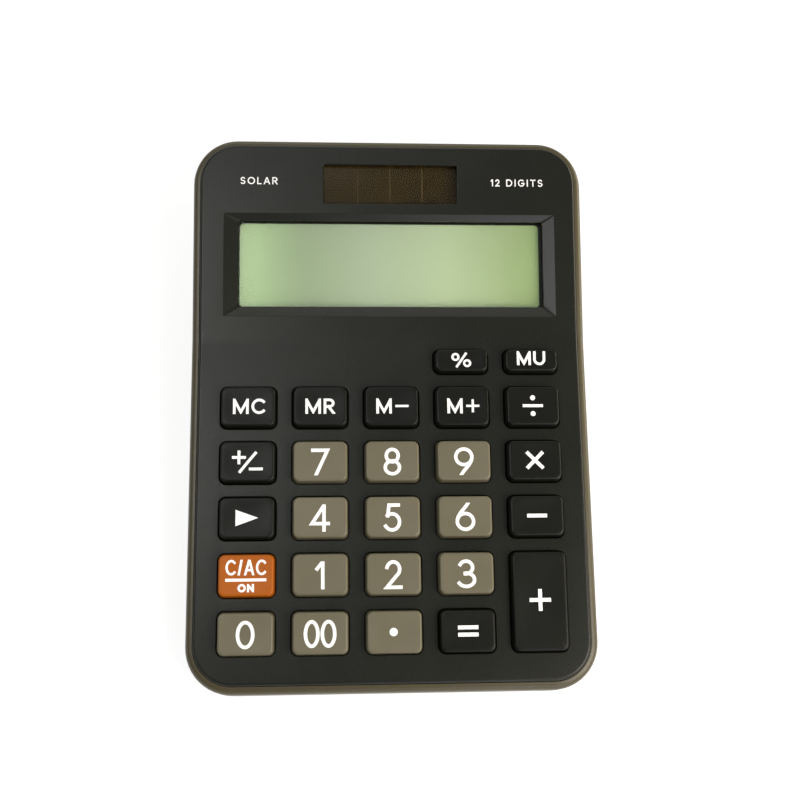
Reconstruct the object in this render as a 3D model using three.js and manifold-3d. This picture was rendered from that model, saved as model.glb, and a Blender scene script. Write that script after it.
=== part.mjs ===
// A compact twelve-digit desk calculator, 147 x 106.5 x 29.5 mm: a dark top cover set into a khaki
// lower case, 26 sprung keys over a rubber dome sheet, a tilted liquid crystal display and a solar cell.
// Millimetres, +Z up, +X right, +Y towards the display. The origin is on the desk under the middle.
import * as THREE from "three";
import { mergeVertices } from "three/addons/utils/BufferGeometryUtils.js";
import Module from "manifold-3d";

const wasm = await Module();
wasm.setup();

// ---- Driving dimensions ----
const caseWidth = 106.5;
const caseLength = 147;
const caseHeight = 29.5;
const caseCorner = 12.1;
const wall = 1.8;
const gap = 0.3; // between neighbouring pieces
const through = 1.0; // how far a cutter reaches past the faces it cuts
const rimInset = 2.1; // from the outside of the lower case to the side of the top cover
const ledgeDrop = 1.0; // from the cover's top surface down to the top of the lower case's rim
const shoulderRadius = 1.2;
const coverEdgeRadius = 0.8;
const coverSkirt = 5.0; // depth of the cover's side wall
const footHeight = 1.0; // the case floor stands this far off the desk
const baseEdgeRadius = 3.0;

const keyTilt = THREE.MathUtils.degToRad(4.7);
const displayTilt = THREE.MathUtils.degToRad(10.4);
const bendY = 18.9; // where the key deck meets the display deck

const keyPitchX = 18.85;
const keyPitchV = 14.64;
const frontRowV = -58.75;
const smallRowV = 12.3;
const keyWidth = 14.3;
const keyDepth = 10.75;
const smallKeyDepth = 6.2;
const keyRise = 2.55; // top of a key above the deck
const keyCorner = 1.6;
const keyEdge = 0.5;
const keyDraft = 0.2; // how much wider each side is where the key enters the deck
const keyTravel = 1.2;
const keyClearance = 0.35;
const flangeLip = 0.45; // how far the flange reaches past the hole's edge
const flangeThickness = 0.9;
const keyShell = 1.2; // thickness of a key's walls and top
const keyStemRadius = 1.5;
const dome = { foot: 3.5, crown: 2.1, skin: 0.7 }; // radii of a rubber dome, and its thickness

// Openings in the display deck, their middles given along the deck from the bend.
const displayOpening = { width: 83.4, depth: 23.8, x: 0.65, y: 20.7 };
const displayBezel = { width: 90.2, depth: 28.4, x: 0.25, y: 20.1 };
const bezelDrop = 1.3;
const solarOpening = { width: 36.7, depth: 11, x: 0.35, y: 42.6 };
const displayPocketMargin = 1.7; // room for a window's edge all round its opening, seen from below
const solarPocketMargin = 2;
const windowFrameMargin = 5;

// ---- Levels below the key deck's surface, measured square to it ----
const flangeTop = -(wall + gap);
const flangeBottom = flangeTop - flangeThickness;
const stemBottom = flangeBottom - 0.9;
const domeTop = stemBottom - gap;
const sheetTop = flangeBottom - keyTravel - 1.8;
const sheetThickness = 0.8;
const sheetBottom = sheetTop - sheetThickness;
const boardTop = sheetBottom - gap;
const boardThickness = 1.2;
const boardBottom = boardTop - boardThickness;

// ---- Levels below the display deck's surface ----
const lensThickness = 1.0;
const displayPocketTop = -1.9;
const displayLensTop = displayPocketTop - gap;
const glassTop = displayLensTop - lensThickness - gap;
const glassThickness = 1.8;
const glass = { half: 43.5, front: 3.5, back: 35.5 };
const holderTop = glassTop - glassThickness - gap;
const holder = { half: 45.5, front: 9.5, back: 36.8, thickness: 1.2 };
const clip = { width: 1.4, front: 14, back: 27 }; // at each end of the holder, beside the glass
const solarPocketTop = -1.3;
const solarLensTop = solarPocketTop - gap;
const solarLensThickness = 0.8;
const cellTop = solarLensTop - solarLensThickness - gap;
const cellThickness = 1.1;
const cellMargin = 1.5;
const windowFrameBottom = -2.6;
const windowEdgeGap = 0.3; // between a window and the side of its pocket

// ---- Outline of the board and the rubber sheet, on the key deck ----
const boardHalfWidth = 46;
const boardFrontV = -64;
const boardBackV = 22;
const sheetBackV = 16.9;

// ---- Materials ----
const plastic = (color, roughness) => new THREE.MeshStandardMaterial({ color, roughness, metalness: 0 });
const metal = (color, roughness) => new THREE.MeshStandardMaterial({ color, roughness, metalness: 1 });
const materials = {
  cover: plastic(0x2f302d, 0.5),
  base: plastic(0x7d7259, 0.45),
  blackKey: plastic(0x1c1d1b, 0.4),
  khakiKey: plastic(0x7a705d, 0.4),
  orangeKey: plastic(0xc8621e, 0.4),
  rubber: plastic(0x9a9c9a, 0.85),
  foot: plastic(0x1a1a1a, 0.9),
  lens: plastic(0xe8efe8, 0.08),
  display: plastic(0xa9c08c, 0.25),
  holder: plastic(0xd8d8d2, 0.6),
  solar: plastic(0x38291a, 0.2),
  board: plastic(0x8a6a3a, 0.6),
  ribbon: plastic(0xb98a3c, 0.5),
  epoxy: plastic(0x111111, 0.45),
  capacitor: plastic(0x232a45, 0.4),
  cell: metal(0xc9cac6, 0.25),
  contact: metal(0xc8bd9a, 0.3),
  screw: metal(0x8d8f90, 0.35),
  redWire: plastic(0xb3201c, 0.5),
  blackWire: plastic(0x161616, 0.5),
  label: plastic(0xb9b4a4, 0.5),
};

materials.lens.transparent = true;
materials.lens.opacity = 0.35;

// ---- Solids ----
function solid(geometry) {
  const bare = geometry.clone();
  bare.deleteAttribute("normal");
  bare.deleteAttribute("uv");
  const merged = mergeVertices(bare, 1e-4);
  return new wasm.Manifold(
    new wasm.Mesh({
      numProp: 3,
      vertProperties: new Float32Array(merged.attributes.position.array),
      triVerts: new Uint32Array(merged.index.array),
    }),
  );
}

function meshOf(name, made, material) {
  const { vertProperties, triVerts } = made.getMesh();
  const geometry = new THREE.BufferGeometry();
  geometry.setAttribute("position", new THREE.BufferAttribute(vertProperties, 3));
  geometry.setIndex(new THREE.BufferAttribute(triVerts, 1));
  geometry.computeVertexNormals();
  const mesh = new THREE.Mesh(geometry, material);
  mesh.name = name;
  return mesh;
}

const joined = (solids) => solids.reduce((all, one) => all.add(one));
const cutBy = (body, cutters) => cutters.reduce((left, one) => left.subtract(one), body);

function roundedRectangle(width, depth, radius) {
  const [x, y] = [width / 2 - radius, depth / 2 - radius];
  const shape = new THREE.Shape();
  shape.absarc(x, y, radius, 0, Math.PI / 2);
  shape.absarc(-x, y, radius, Math.PI / 2, Math.PI);
  shape.absarc(-x, -y, radius, Math.PI, 1.5 * Math.PI);
  shape.absarc(x, -y, radius, 1.5 * Math.PI, 2 * Math.PI);
  shape.closePath();
  return shape;
}

// A prism over a rounded rectangle from low to high, with both ends' edges rounded off by edge.
function prism({ width, depth, radius = 0.5, low, high, edge = 0, steps = 1, arc = 2, x = 0, y = 0 }) {
  const geometry = new THREE.ExtrudeGeometry(roundedRectangle(width, depth, radius), {
    depth: high - low - 2 * edge,
    curveSegments: arc,
    bevelEnabled: edge > 0,
    bevelThickness: edge,
    bevelSize: edge,
    bevelOffset: -edge,
    bevelSegments: steps,
  });
  return geometry.translate(x, y, low + edge);
}

// Widens or narrows a geometry from full size at one level to a share of its width and depth at another.
function tapered(geometry, fullAt, shareAt, shareX, shareY) {
  const at = geometry.attributes.position;
  for (let i = 0; i < at.count; i += 1) {
    const t = (at.getZ(i) - fullAt) / (shareAt - fullAt);
    at.setX(i, at.getX(i) * (1 + t * (shareX - 1)));
    at.setY(i, at.getY(i) * (1 + t * (shareY - 1)));
  }
  return geometry;
}

// A cylinder or cone standing on Z, from low to high.
function post({ x = 0, y = 0, low, high, radius, topRadius = radius, sides = 10 }) {
  const geometry = new THREE.CylinderGeometry(topRadius, radius, high - low, sides);
  return geometry.rotateX(Math.PI / 2).translate(x, y, (low + high) / 2);
}

function box(x0, x1, y0, y1, z0, z1) {
  const geometry = new THREE.BoxGeometry(x1 - x0, y1 - y0, z1 - z0);
  return geometry.translate((x0 + x1) / 2, (y0 + y1) / 2, (z0 + z1) / 2);
}

function grown(rectangle, by) {
  return { ...rectangle, width: rectangle.width + 2 * by, depth: rectangle.depth + 2 * by };
}

// ---- The deck: a key plane and a steeper display plane, which meet at the bend ----
const coverHalfLength = caseLength / 2 - rimInset;
const bendZ = caseHeight - Math.tan(displayTilt) * (coverHalfLength - bendY);
const deckPlanes = [keyTilt, displayTilt].map((tilt) => {
  const slope = Math.tan(tilt);
  return { slope, height: bendZ - slope * bendY };
});
const deckHeight = (y) => Math.max(...deckPlanes.map(({ slope, height }) => height + slope * y));

// Everything under the deck within an inset outline, its top lowered by drop and its edge rounded.
function underDeck({ inset, drop, edge = 0, steps = 1, arc = 4 }) {
  const reach = 60;
  const block = prism({
    width: caseWidth - 2 * inset,
    depth: caseLength - 2 * inset,
    radius: Math.max(caseCorner - inset, 1),
    low: -drop - reach,
    high: -drop,
    edge,
    steps,
    arc,
  });
  const sheared = deckPlanes.map(({ slope, height }) => {
    const shear = new THREE.Matrix4().set(1, 0, 0, 0, 0, 1, 0, 0, 0, slope, 1, height, 0, 0, 0, 1);
    return solid(block.clone().applyMatrix4(shear));
  });
  return joined(sheared);
}

// The two decks' own frames: Z square to the deck, Y up its slope.
const keyDeck = new THREE.Group();
keyDeck.position.set(0, 0, deckPlanes[0].height);
keyDeck.rotation.x = keyTilt;
const displayDeck = new THREE.Group();
displayDeck.position.set(0, bendY, bendZ);
displayDeck.rotation.x = displayTilt;
keyDeck.updateMatrix();
displayDeck.updateMatrix();
const onKeyDeck = (geometry) => solid(geometry.applyMatrix4(keyDeck.matrix));
const onDisplayDeck = (geometry) => solid(geometry.applyMatrix4(displayDeck.matrix));

// ---- Where the keys are: column and row counted from the left and from the front ----
const keyNames = [
  ["key_0", "key_00", "key_decimal", "key_equals", null],
  ["key_clear_on", "key_1", "key_2", "key_3", "key_plus"],
  ["key_backspace", "key_4", "key_5", "key_6", "key_minus"],
  ["key_sign", "key_7", "key_8", "key_9", "key_multiply"],
  ["key_mc", "key_mr", "key_m_minus", "key_m_plus", "key_divide"],
  [null, null, null, "key_percent", "key_markup"],
];
const khakiKeys = /^key_(\d+|decimal)$/;
const keys = keyNames.flatMap((names, row) =>
  names.flatMap((name, column) => {
    if (!name) return [];
    const small = row === 5;
    const tall = name === "key_plus";
    const v = small ? smallRowV : frontRowV + row * keyPitchV;
    return {
      name,
      x: (column - 2) * keyPitchX,
      v: tall ? v - keyPitchV / 2 : v,
      depth: small ? smallKeyDepth : keyDepth + (tall ? keyPitchV : 0),
    };
  }),
);

// ---- Screws and posts ----
const frontScrews = [-1, 1].map((side) => ({
  x: side * 1.5 * keyPitchX,
  y: -66.6,
  postRadius: 2.2,
  coreRadius: 1.1,
  headRadius: 1.7,
  headTop: 3.2,
  split: 5.6,
  tip: 9.8,
}));
const backScrews = [-1, 1].map((side) => ({
  x: side * 42,
  y: 63,
  postRadius: 3.2,
  coreRadius: 1.3,
  headRadius: 2.3,
  headTop: 8.4,
  split: 11.5,
  tip: 18,
}));
const caseScrews = [...frontScrews, ...backScrews];
const caseScrewHeadHeight = 1.5;
const wellPostWall = 0.6; // by how much a screw well's post is wider than the boss it meets
const boardScrews = [
  { x: -1.5 * keyPitchX, v: frontRowV + 0.5 * keyPitchV },
  { x: 0.5 * keyPitchX, v: frontRowV + 0.5 * keyPitchV },
  { x: -1.5 * keyPitchX, v: frontRowV + 3.5 * keyPitchV },
  { x: 1.5 * keyPitchX, v: frontRowV + 3.5 * keyPitchV },
];
const boardBossRadius = 1.8;
const boardCoreRadius = 1.0;
const threadBite = 0.3; // a screw's shank is thinner than its hole by this much
const boardSupports = [
  { x: -38, y: -48 },
  { x: 38, y: -48 },
  { x: 0, y: -30 },
  { x: -38, y: -18 },
  { x: 38, y: -8 },
];
const supportRadius = 1.5;

// ---- Feet and label, on the underside ----
const feet = [-1, 1].flatMap((side) => [
  { x: side * 42, y: -56 },
  { x: side * 42, y: 50 },
]);
const footRadius = 4.5;
const footRecess = 0.8;
const labelSize = { width: 50, depth: 24, radius: 2, y: 6 };
const labelRecess = 0.5;
const floorTop = footHeight + wall;

// ---- Casings ----
function upperCase() {
  const outside = underDeck({ inset: rimInset, drop: 0, edge: coverEdgeRadius, arc: 6 });
  const shell = cutBy(outside, [
    underDeck({ inset: -2, drop: coverSkirt }),
    underDeck({ inset: rimInset + wall, drop: wall }),
  ]);
  const frames = [displayOpening, solarOpening].map((opening) =>
    onDisplayDeck(prism({ ...grown(opening, windowFrameMargin), low: windowFrameBottom, high: -wall / 2 })),
  );
  const bosses = caseScrews.map(({ x, y, postRadius, split }) =>
    solid(post({ x, y, radius: postRadius, low: split, high: caseHeight })).intersect(outside),
  );
  const boardBosses = boardScrews.map(({ x, v }) =>
    onKeyDeck(post({ x, y: v, radius: boardBossRadius, low: boardTop + gap, high: -wall / 2 })),
  );
  const openings = keys.map(({ x, v, depth }) =>
    onKeyDeck(
      prism({
        width: keyWidth + 2 * (keyDraft + keyClearance),
        depth: depth + 2 * (keyDraft + keyClearance),
        radius: keyCorner + keyClearance,
        low: -wall - through,
        high: through,
        arc: 1,
        x,
        y: v,
      }),
    ),
  );
  const bezelLift = 0.4; // the chamfers' cutter stands this far above the deck
  const { width, depth, x, y } = displayBezel;
  const bezel = tapered(
    prism({ width, depth, radius: 1, low: -bezelDrop, high: bezelLift, arc: 1 }),
    0,
    -bezelDrop,
    displayOpening.width / width,
    displayOpening.depth / depth,
  );
  const below = windowFrameBottom - through;
  const windows = [
    bezel.translate(x, y, 0),
    prism({ ...displayOpening, radius: 0.9, low: below, high: -bezelDrop / 2, arc: 1 }),
    prism({ ...grown(displayOpening, displayPocketMargin), low: below, high: displayPocketTop }),
    prism({ ...solarOpening, radius: 0.6, low: below, high: through, arc: 1 }),
    prism({ ...grown(solarOpening, solarPocketMargin), low: below, high: solarPocketTop }),
  ].map(onDisplayDeck);
  const cores = caseScrews.map(({ x, y, coreRadius, split, tip }) =>
    solid(post({ x, y, radius: coreRadius, low: split - through, high: tip })),
  );
  const boardCores = boardScrews.map(({ x, v }) =>
    onKeyDeck(post({ x, y: v, radius: boardCoreRadius, low: boardTop, high: -wall - 0.6, sides: 8 })),
  );
  const body = joined([shell, ...frames, ...bosses, ...boardBosses]);
  const cutters = [...openings, ...windows, ...cores, ...boardCores];
  return meshOf("upper_case", cutBy(body, cutters), materials.cover);
}

function lowerCase() {
  const rounded = { steps: 2, arc: 6 };
  const underRim = underDeck({ inset: 0, drop: ledgeDrop, edge: shoulderRadius, ...rounded });
  const aboveBase = prism({
    width: caseWidth,
    depth: caseLength,
    radius: caseCorner,
    low: footHeight,
    high: caseHeight + 2 * baseEdgeRadius,
    edge: baseEdgeRadius,
    ...rounded,
  });
  const outside = underRim.intersect(solid(aboveBase));
  const hollow = prism({
    width: caseWidth - 2 * wall,
    depth: caseLength - 2 * wall,
    radius: caseCorner - wall,
    low: floorTop,
    high: caseHeight + 5,
    arc: 4,
  });
  const low = floorTop - wall / 2;
  const posts = caseScrews.map(({ x, y, postRadius, split }) =>
    solid(post({ x, y, radius: postRadius + wellPostWall, low, high: split - gap })),
  );
  const supports = boardSupports.map(({ x, y }) => {
    const underBoard = deckHeight(y) + boardBottom / Math.cos(keyTilt) - 2 * gap;
    return solid(post({ x, y, radius: supportRadius, low, high: underBoard, sides: 8 }));
  });
  const screwHoles = caseScrews.flatMap(({ x, y, coreRadius, headRadius, headTop, split }) => [
    solid(post({ x, y, radius: headRadius + gap, low: 0, high: headTop + gap })),
    solid(post({ x, y, radius: coreRadius, low: 0, high: split + through })),
  ]);
  const footSeat = { radius: footRadius + gap, low: 0, high: footHeight + footRecess, sides: 16 };
  const recesses = [
    ...feet.map(({ x, y }) => solid(post({ ...footSeat, x, y }))),
    solid(prism({ ...grown(labelSize, gap), low: 0, high: footHeight + labelRecess })),
  ];
  const body = joined([outside.subtract(solid(hollow)), ...posts, ...supports]);
  return meshOf("lower_case", cutBy(body, [...screwHoles, ...recesses]), materials.base);
}

// ---- Keys ----
function keyCap({ name, x, v, depth }) {
  const low = (flangeBottom + flangeTop) / 2;
  const outer = tapered(
    prism({ width: keyWidth, depth, radius: keyCorner, low, high: keyRise, edge: keyEdge, arc: 1 }),
    keyRise,
    0,
    1 + (2 * keyDraft) / keyWidth,
    1 + (2 * keyDraft) / depth,
  );
  const lip = 2 * (keyDraft + keyClearance + flangeLip);
  const flange = prism({
    width: keyWidth + lip,
    depth: depth + lip,
    radius: keyCorner + keyClearance + flangeLip,
    low: flangeBottom,
    high: flangeTop,
    arc: 1,
  });
  const pocket = box(
    -keyWidth / 2 + keyShell,
    keyWidth / 2 - keyShell,
    -depth / 2 + keyShell,
    depth / 2 - keyShell,
    flangeBottom - through,
    keyRise - keyShell,
  );
  const stem = post({ radius: keyStemRadius, low: stemBottom, high: keyRise - keyShell / 2, sides: 6 });
  const body = solid(outer).add(solid(flange)).subtract(solid(pocket)).add(solid(stem));
  const numbered = khakiKeys.test(name) ? materials.khakiKey : materials.blackKey;
  const mesh = meshOf(name, body, name === "key_clear_on" ? materials.orangeKey : numbered);
  mesh.position.set(x, v, 0);
  return mesh;
}

// ---- What lies under the keys, in the key deck's frame ----
const deckPlate = (low, high, backV) =>
  prism({
    width: 2 * boardHalfWidth,
    depth: backV - boardFrontV,
    radius: 2,
    low,
    high,
    y: (backV + boardFrontV) / 2,
  });

function rubberKeySheet() {
  const domes = keys.map(({ x, v }) =>
    solid(
      post({
        x,
        y: v,
        radius: dome.foot,
        topRadius: dome.crown,
        low: (sheetBottom + sheetTop) / 2,
        high: domeTop,
        sides: 8,
      }),
    ),
  );
  const hollows = keys.map(({ x, v }) =>
    solid(
      post({
        x,
        y: v,
        radius: dome.foot - dome.skin,
        topRadius: dome.crown - dome.skin,
        low: sheetBottom - gap,
        high: domeTop - dome.skin,
        sides: 6,
      }),
    ),
  );
  const bossHole = { radius: boardBossRadius + gap, low: sheetBottom - through, high: sheetTop + through };
  const bossHoles = boardScrews.map(({ x, v }) => solid(post({ ...bossHole, x, y: v })));
  const sheet = joined([solid(deckPlate(sheetBottom, sheetTop, sheetBackV)), ...domes]);
  return meshOf("rubber_key_sheet", cutBy(sheet, [...hollows, ...bossHoles]), materials.rubber);
}

function circuitBoard() {
  const hole = { radius: boardCoreRadius, low: boardBottom - through, high: boardTop + through };
  const holes = boardScrews.map(({ x, v }) => solid(post({ ...hole, x, y: v })));
  const plate = solid(deckPlate(boardBottom, boardTop, boardBackV));
  return meshOf("circuit_board", cutBy(plate, holes), materials.board);
}

function crossRecess(low, high, reach) {
  const half = 0.25; // half the width of a slot
  return joined([
    solid(box(-reach, reach, -half, half, low, high)),
    solid(box(-half, half, -reach, reach, low, high)),
  ]);
}

// A screw pointing up, its head's underside at level 0 in its own frame and a cross recess below.
function screw(name, { headRadius, headHeight, shankRadius, length }) {
  const low = -headHeight;
  const head = post({ radius: headRadius * 0.75, topRadius: headRadius, low, high: 0, sides: 12 });
  const tipRadius = shankRadius * 0.7;
  const shank = post({ radius: shankRadius, topRadius: tipRadius, low: low / 2, high: length, sides: 6 });
  const recess = crossRecess(low - through, low * 0.4, headRadius * 0.55);
  return meshOf(name, solid(head).add(solid(shank)).subtract(recess), materials.screw);
}

function boardScrew({ x, v }, index) {
  const mesh = screw(`board_screw_${index + 1}`, {
    headRadius: 1.9,
    headHeight: 1.1,
    shankRadius: boardCoreRadius - threadBite,
    length: 5,
  });
  mesh.position.set(x, v, boardBottom - gap);
  return mesh;
}

function processorChip() {
  // the epoxy blob's outline: radius and depth below the board
  const profile = [
    [0, 0],
    [6.5, 0],
    [5.8, -0.8],
    [4.2, -1.4],
    [2, -1.7],
    [0, -1.75],
  ].map(([r, z]) => new THREE.Vector2(r, z));
  const made = solid(new THREE.LatheGeometry(profile.reverse(), 14).rotateX(Math.PI / 2));
  const mesh = meshOf("processor_chip", made, materials.epoxy);
  mesh.position.set(6, -20, boardBottom - gap);
  return mesh;
}

function filterCapacitor() {
  const [radius, length] = [2.4, 7];
  const can = new THREE.CylinderGeometry(radius, radius, length, 14).rotateZ(Math.PI / 2);
  const mesh = meshOf("filter_capacitor", solid(can), materials.capacitor);
  mesh.position.set(22, 12, boardBottom - gap - radius);
  return mesh;
}

// ---- Battery, hung under the board ----
const cellRadius = 5.8;
const cellHeight = 3.05;
const batterySpot = { x: -24, v: 6 };
const holderHalf = cellRadius + 2;
const stripThickness = 0.3;
const stripHalf = 2;
const stripTail = 2.5; // how far each contact reaches past the holder
const minusTop = boardBottom - gap;
const batteryTop = minusTop - stripThickness - gap;
const batteryBottom = batteryTop - cellHeight;
const plusTop = batteryBottom - gap;

function placedAtBattery(mesh) {
  mesh.position.set(batterySpot.x, batterySpot.v, 0);
  return mesh;
}

function batteryHolder() {
  const block = prism({
    width: 2 * holderHalf,
    depth: 2 * holderHalf,
    radius: 2,
    low: batteryBottom,
    high: minusTop,
  });
  const [low, high] = [batteryBottom - through, minusTop + through];
  const seat = post({ radius: cellRadius + gap, low, high, sides: 16 });
  const channel = stripHalf + gap;
  const stripWay = box(-channel, channel, 0, holderHalf + through, batteryTop + gap / 2, high);
  const body = cutBy(solid(block), [solid(seat), solid(stripWay)]);
  return placedAtBattery(meshOf("battery_holder", body, materials.holder));
}

function buttonCell() {
  const canTop = batteryTop - 0.4;
  const can = post({ radius: cellRadius, low: batteryBottom, high: canTop, sides: 18 });
  const lid = post({
    radius: cellRadius - 0.4,
    topRadius: cellRadius - 1,
    low: canTop - 0.1,
    high: batteryTop,
    sides: 18,
  });
  return placedAtBattery(meshOf("button_cell", solid(can).add(solid(lid)), materials.cell));
}

function minusContact() {
  const back = holderHalf + stripTail;
  const strip = box(-stripHalf, stripHalf, -stripTail, back, minusTop - stripThickness, minusTop);
  return placedAtBattery(meshOf("battery_contact_minus", solid(strip), materials.contact));
}

function plusContact() {
  const front = -holderHalf - stripTail;
  const low = plusTop - stripThickness;
  const parts = [
    box(-stripHalf, stripHalf, front, stripTail, low, plusTop),
    box(-stripHalf, stripHalf, front, front + stripThickness, low, minusTop),
    box(-stripHalf, stripHalf, front, front + stripHalf, minusTop - stripThickness, minusTop),
  ];
  return placedAtBattery(meshOf("battery_contact_plus", joined(parts.map(solid)), materials.contact));
}

// ---- What lies under the display deck ----
function displayWindow() {
  const plate = prism({
    ...grown(displayOpening, displayPocketMargin - windowEdgeGap),
    low: displayLensTop - lensThickness,
    high: displayLensTop,
  });
  return meshOf("display_window", solid(plate), materials.lens);
}

function lcdPanel() {
  const { front, back, half } = glass;
  const plate = box(-half, half, front, back, glassTop - glassThickness, glassTop);
  return meshOf("lcd_panel", solid(plate), materials.display);
}

function lcdHolder() {
  const { half, front, back, thickness } = holder;
  const plate = box(-half, half, front, back, holderTop - thickness, holderTop);
  const clipTop = holderTop + glassThickness + gap;
  const clips = [-half, half - clip.width].map((x) =>
    box(x, x + clip.width, clip.front, clip.back, holderTop - thickness / 2, clipTop),
  );
  return meshOf("lcd_holder", joined([plate, ...clips].map(solid)), materials.holder);
}

function solarWindow() {
  const plate = prism({
    ...grown(solarOpening, solarPocketMargin - windowEdgeGap),
    low: solarLensTop - solarLensThickness,
    high: solarLensTop,
  });
  return meshOf("solar_window", solid(plate), materials.lens);
}

function solarCell() {
  const plate = prism({
    ...grown(solarOpening, cellMargin),
    radius: 0.3,
    arc: 1,
    low: cellTop - cellThickness,
    high: cellTop,
  });
  return meshOf("solar_cell", solid(plate), materials.solar);
}

// ---- Parts that cross from one deck to the other, in the object's own frame ----
// Each follows a route of points, given on a deck's plane and below it, so that it clears what it passes.
const fromKeyDeck = (v, w) => new THREE.Vector3(0, v, w).applyMatrix4(keyDeck.matrix);
const fromDisplayDeck = (v, w) => new THREE.Vector3(0, v, w).applyMatrix4(displayDeck.matrix);

function displayRibbon() {
  const [width, thickness] = [62, 0.25];
  const route = [
    fromDisplayDeck(8.5, holderTop - thickness),
    fromDisplayDeck(3.2, holderTop - thickness),
    fromKeyDeck(21.6, boardTop + 1.2),
    fromKeyDeck(21.0, boardTop + gap),
    fromKeyDeck(18.0, boardTop + gap),
  ];
  const outline = [
    ...route.map(({ y, z }) => new THREE.Vector2(y, z)),
    ...route.map(({ y, z }) => new THREE.Vector2(y, z + thickness)).reverse(),
  ];
  const strip = new THREE.ExtrudeGeometry(new THREE.Shape(outline), { depth: width, bevelEnabled: false });
  // The outline is drawn in Y and Z, so the extrusion's axes are turned to run along X.
  const turn = new THREE.Matrix4().set(0, 0, 1, -width / 2, 1, 0, 0, 0, 0, 1, 0, 0, 0, 0, 0, 1);
  return meshOf("display_ribbon", solid(strip.applyMatrix4(turn)), materials.ribbon);
}

function solarLead(name, x, material) {
  const route = [
    fromDisplayDeck(40, cellTop - cellThickness - gap - 0.6),
    fromDisplayDeck(38.6, holderTop - 2.4),
    fromDisplayDeck(30, holderTop - 3.2),
    fromDisplayDeck(16, holderTop - 3.4),
    fromKeyDeck(26, boardBottom - 1.6),
    fromKeyDeck(19, boardBottom - gap - 0.7),
  ];
  const path = new THREE.CatmullRomCurve3(route.map(({ y, z }) => new THREE.Vector3(x, y, z)));
  const section = new THREE.Shape().absarc(0, 0, 0.5, 0, 2 * Math.PI);
  const tube = new THREE.ExtrudeGeometry(section, { steps: 12, extrudePath: path, curveSegments: 3 });
  return meshOf(name, solid(tube), material);
}

// ---- Parts on the underside ----
function caseScrew({ x, y, coreRadius, headRadius, headTop, tip }, index) {
  const mesh = screw(`case_screw_${index + 1}`, {
    headRadius,
    headHeight: caseScrewHeadHeight,
    shankRadius: coreRadius - threadBite,
    length: tip - headTop - caseScrewHeadHeight,
  });
  mesh.position.set(x, y, headTop);
  return mesh;
}

function rubberFoot({ x, y }, index) {
  const disc = post({ radius: footRadius, low: 0, high: footHeight + footRecess - gap, sides: 16 });
  const mesh = meshOf(`rubber_foot_${index + 1}`, solid(disc), materials.foot);
  mesh.position.set(x, y, 0);
  return mesh;
}

function ratingLabel() {
  const plate = prism({ ...labelSize, low: footHeight, high: footHeight + labelRecess - gap });
  return meshOf("rating_label", solid(plate), materials.label);
}

// ---- Assembly ----
keyDeck.add(
  ...keys.map(keyCap),
  rubberKeySheet(),
  circuitBoard(),
  ...boardScrews.map(boardScrew),
  processorChip(),
  filterCapacitor(),
  batteryHolder(),
  buttonCell(),
  minusContact(),
  plusContact(),
);
displayDeck.add(displayWindow(), lcdPanel(), lcdHolder(), solarWindow(), solarCell());

const calculator = new THREE.Group();
calculator.add(
  upperCase(),
  lowerCase(),
  keyDeck,
  displayDeck,
  displayRibbon(),
  solarLead("solar_lead_red", -7, materials.redWire),
  solarLead("solar_lead_black", 7, materials.blackWire),
  ...caseScrews.map(caseScrew),
  ...feet.map(rubberFoot),
  ratingLabel(),
);

export default calculator;
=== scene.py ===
import math

import bmesh
import bpy
from mathutils import Matrix, Vector


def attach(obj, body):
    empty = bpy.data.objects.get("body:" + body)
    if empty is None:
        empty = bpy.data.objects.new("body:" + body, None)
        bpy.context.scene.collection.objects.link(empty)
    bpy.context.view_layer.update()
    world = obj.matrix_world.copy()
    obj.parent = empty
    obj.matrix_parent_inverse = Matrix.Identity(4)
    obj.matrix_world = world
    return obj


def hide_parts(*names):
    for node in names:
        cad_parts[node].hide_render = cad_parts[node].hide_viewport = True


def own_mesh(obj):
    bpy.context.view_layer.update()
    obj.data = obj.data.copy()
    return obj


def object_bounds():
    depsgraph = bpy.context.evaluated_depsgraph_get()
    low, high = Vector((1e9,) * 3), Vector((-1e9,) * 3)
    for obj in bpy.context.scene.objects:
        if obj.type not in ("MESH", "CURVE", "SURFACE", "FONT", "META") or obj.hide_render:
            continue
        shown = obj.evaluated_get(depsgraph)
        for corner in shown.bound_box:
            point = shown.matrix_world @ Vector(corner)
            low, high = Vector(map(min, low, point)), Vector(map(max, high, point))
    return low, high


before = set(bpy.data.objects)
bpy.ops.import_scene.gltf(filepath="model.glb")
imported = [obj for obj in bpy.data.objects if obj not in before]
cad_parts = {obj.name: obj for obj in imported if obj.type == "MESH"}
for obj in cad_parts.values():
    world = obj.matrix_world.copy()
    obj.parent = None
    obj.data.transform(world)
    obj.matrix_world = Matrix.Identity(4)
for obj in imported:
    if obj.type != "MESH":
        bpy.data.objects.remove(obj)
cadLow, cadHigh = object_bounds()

# A compact desk calculator. Lengths are millimetres until meshInMetres turns them to metres.
# On a deck, x and v lie in its plane and w stands out of it.
mm = 0.001
case = dict(
    width=(cadHigh.x - cadLow.x) / mm, length=(cadHigh.y - cadLow.y) / mm, height=29.5, corner=12.1,
    wall=1.8, gap=0.3, rimInset=2.1,
)
deck = dict(
    keyTilt=math.radians(4.7), displayTilt=math.radians(10.4), bendY=18.9, bendRadius=45.0, bendSteps=8
)


def linear(colour):
    # sRGB hex to the linear colour that Blender's sockets take
    parts = [int(colour[i:i + 2], 16) / 255 for i in (1, 3, 5)]
    return [c / 12.92 if c <= 0.04045 else ((c + 0.055) / 1.055) ** 2.4 for c in parts] + [1.0]


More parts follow.
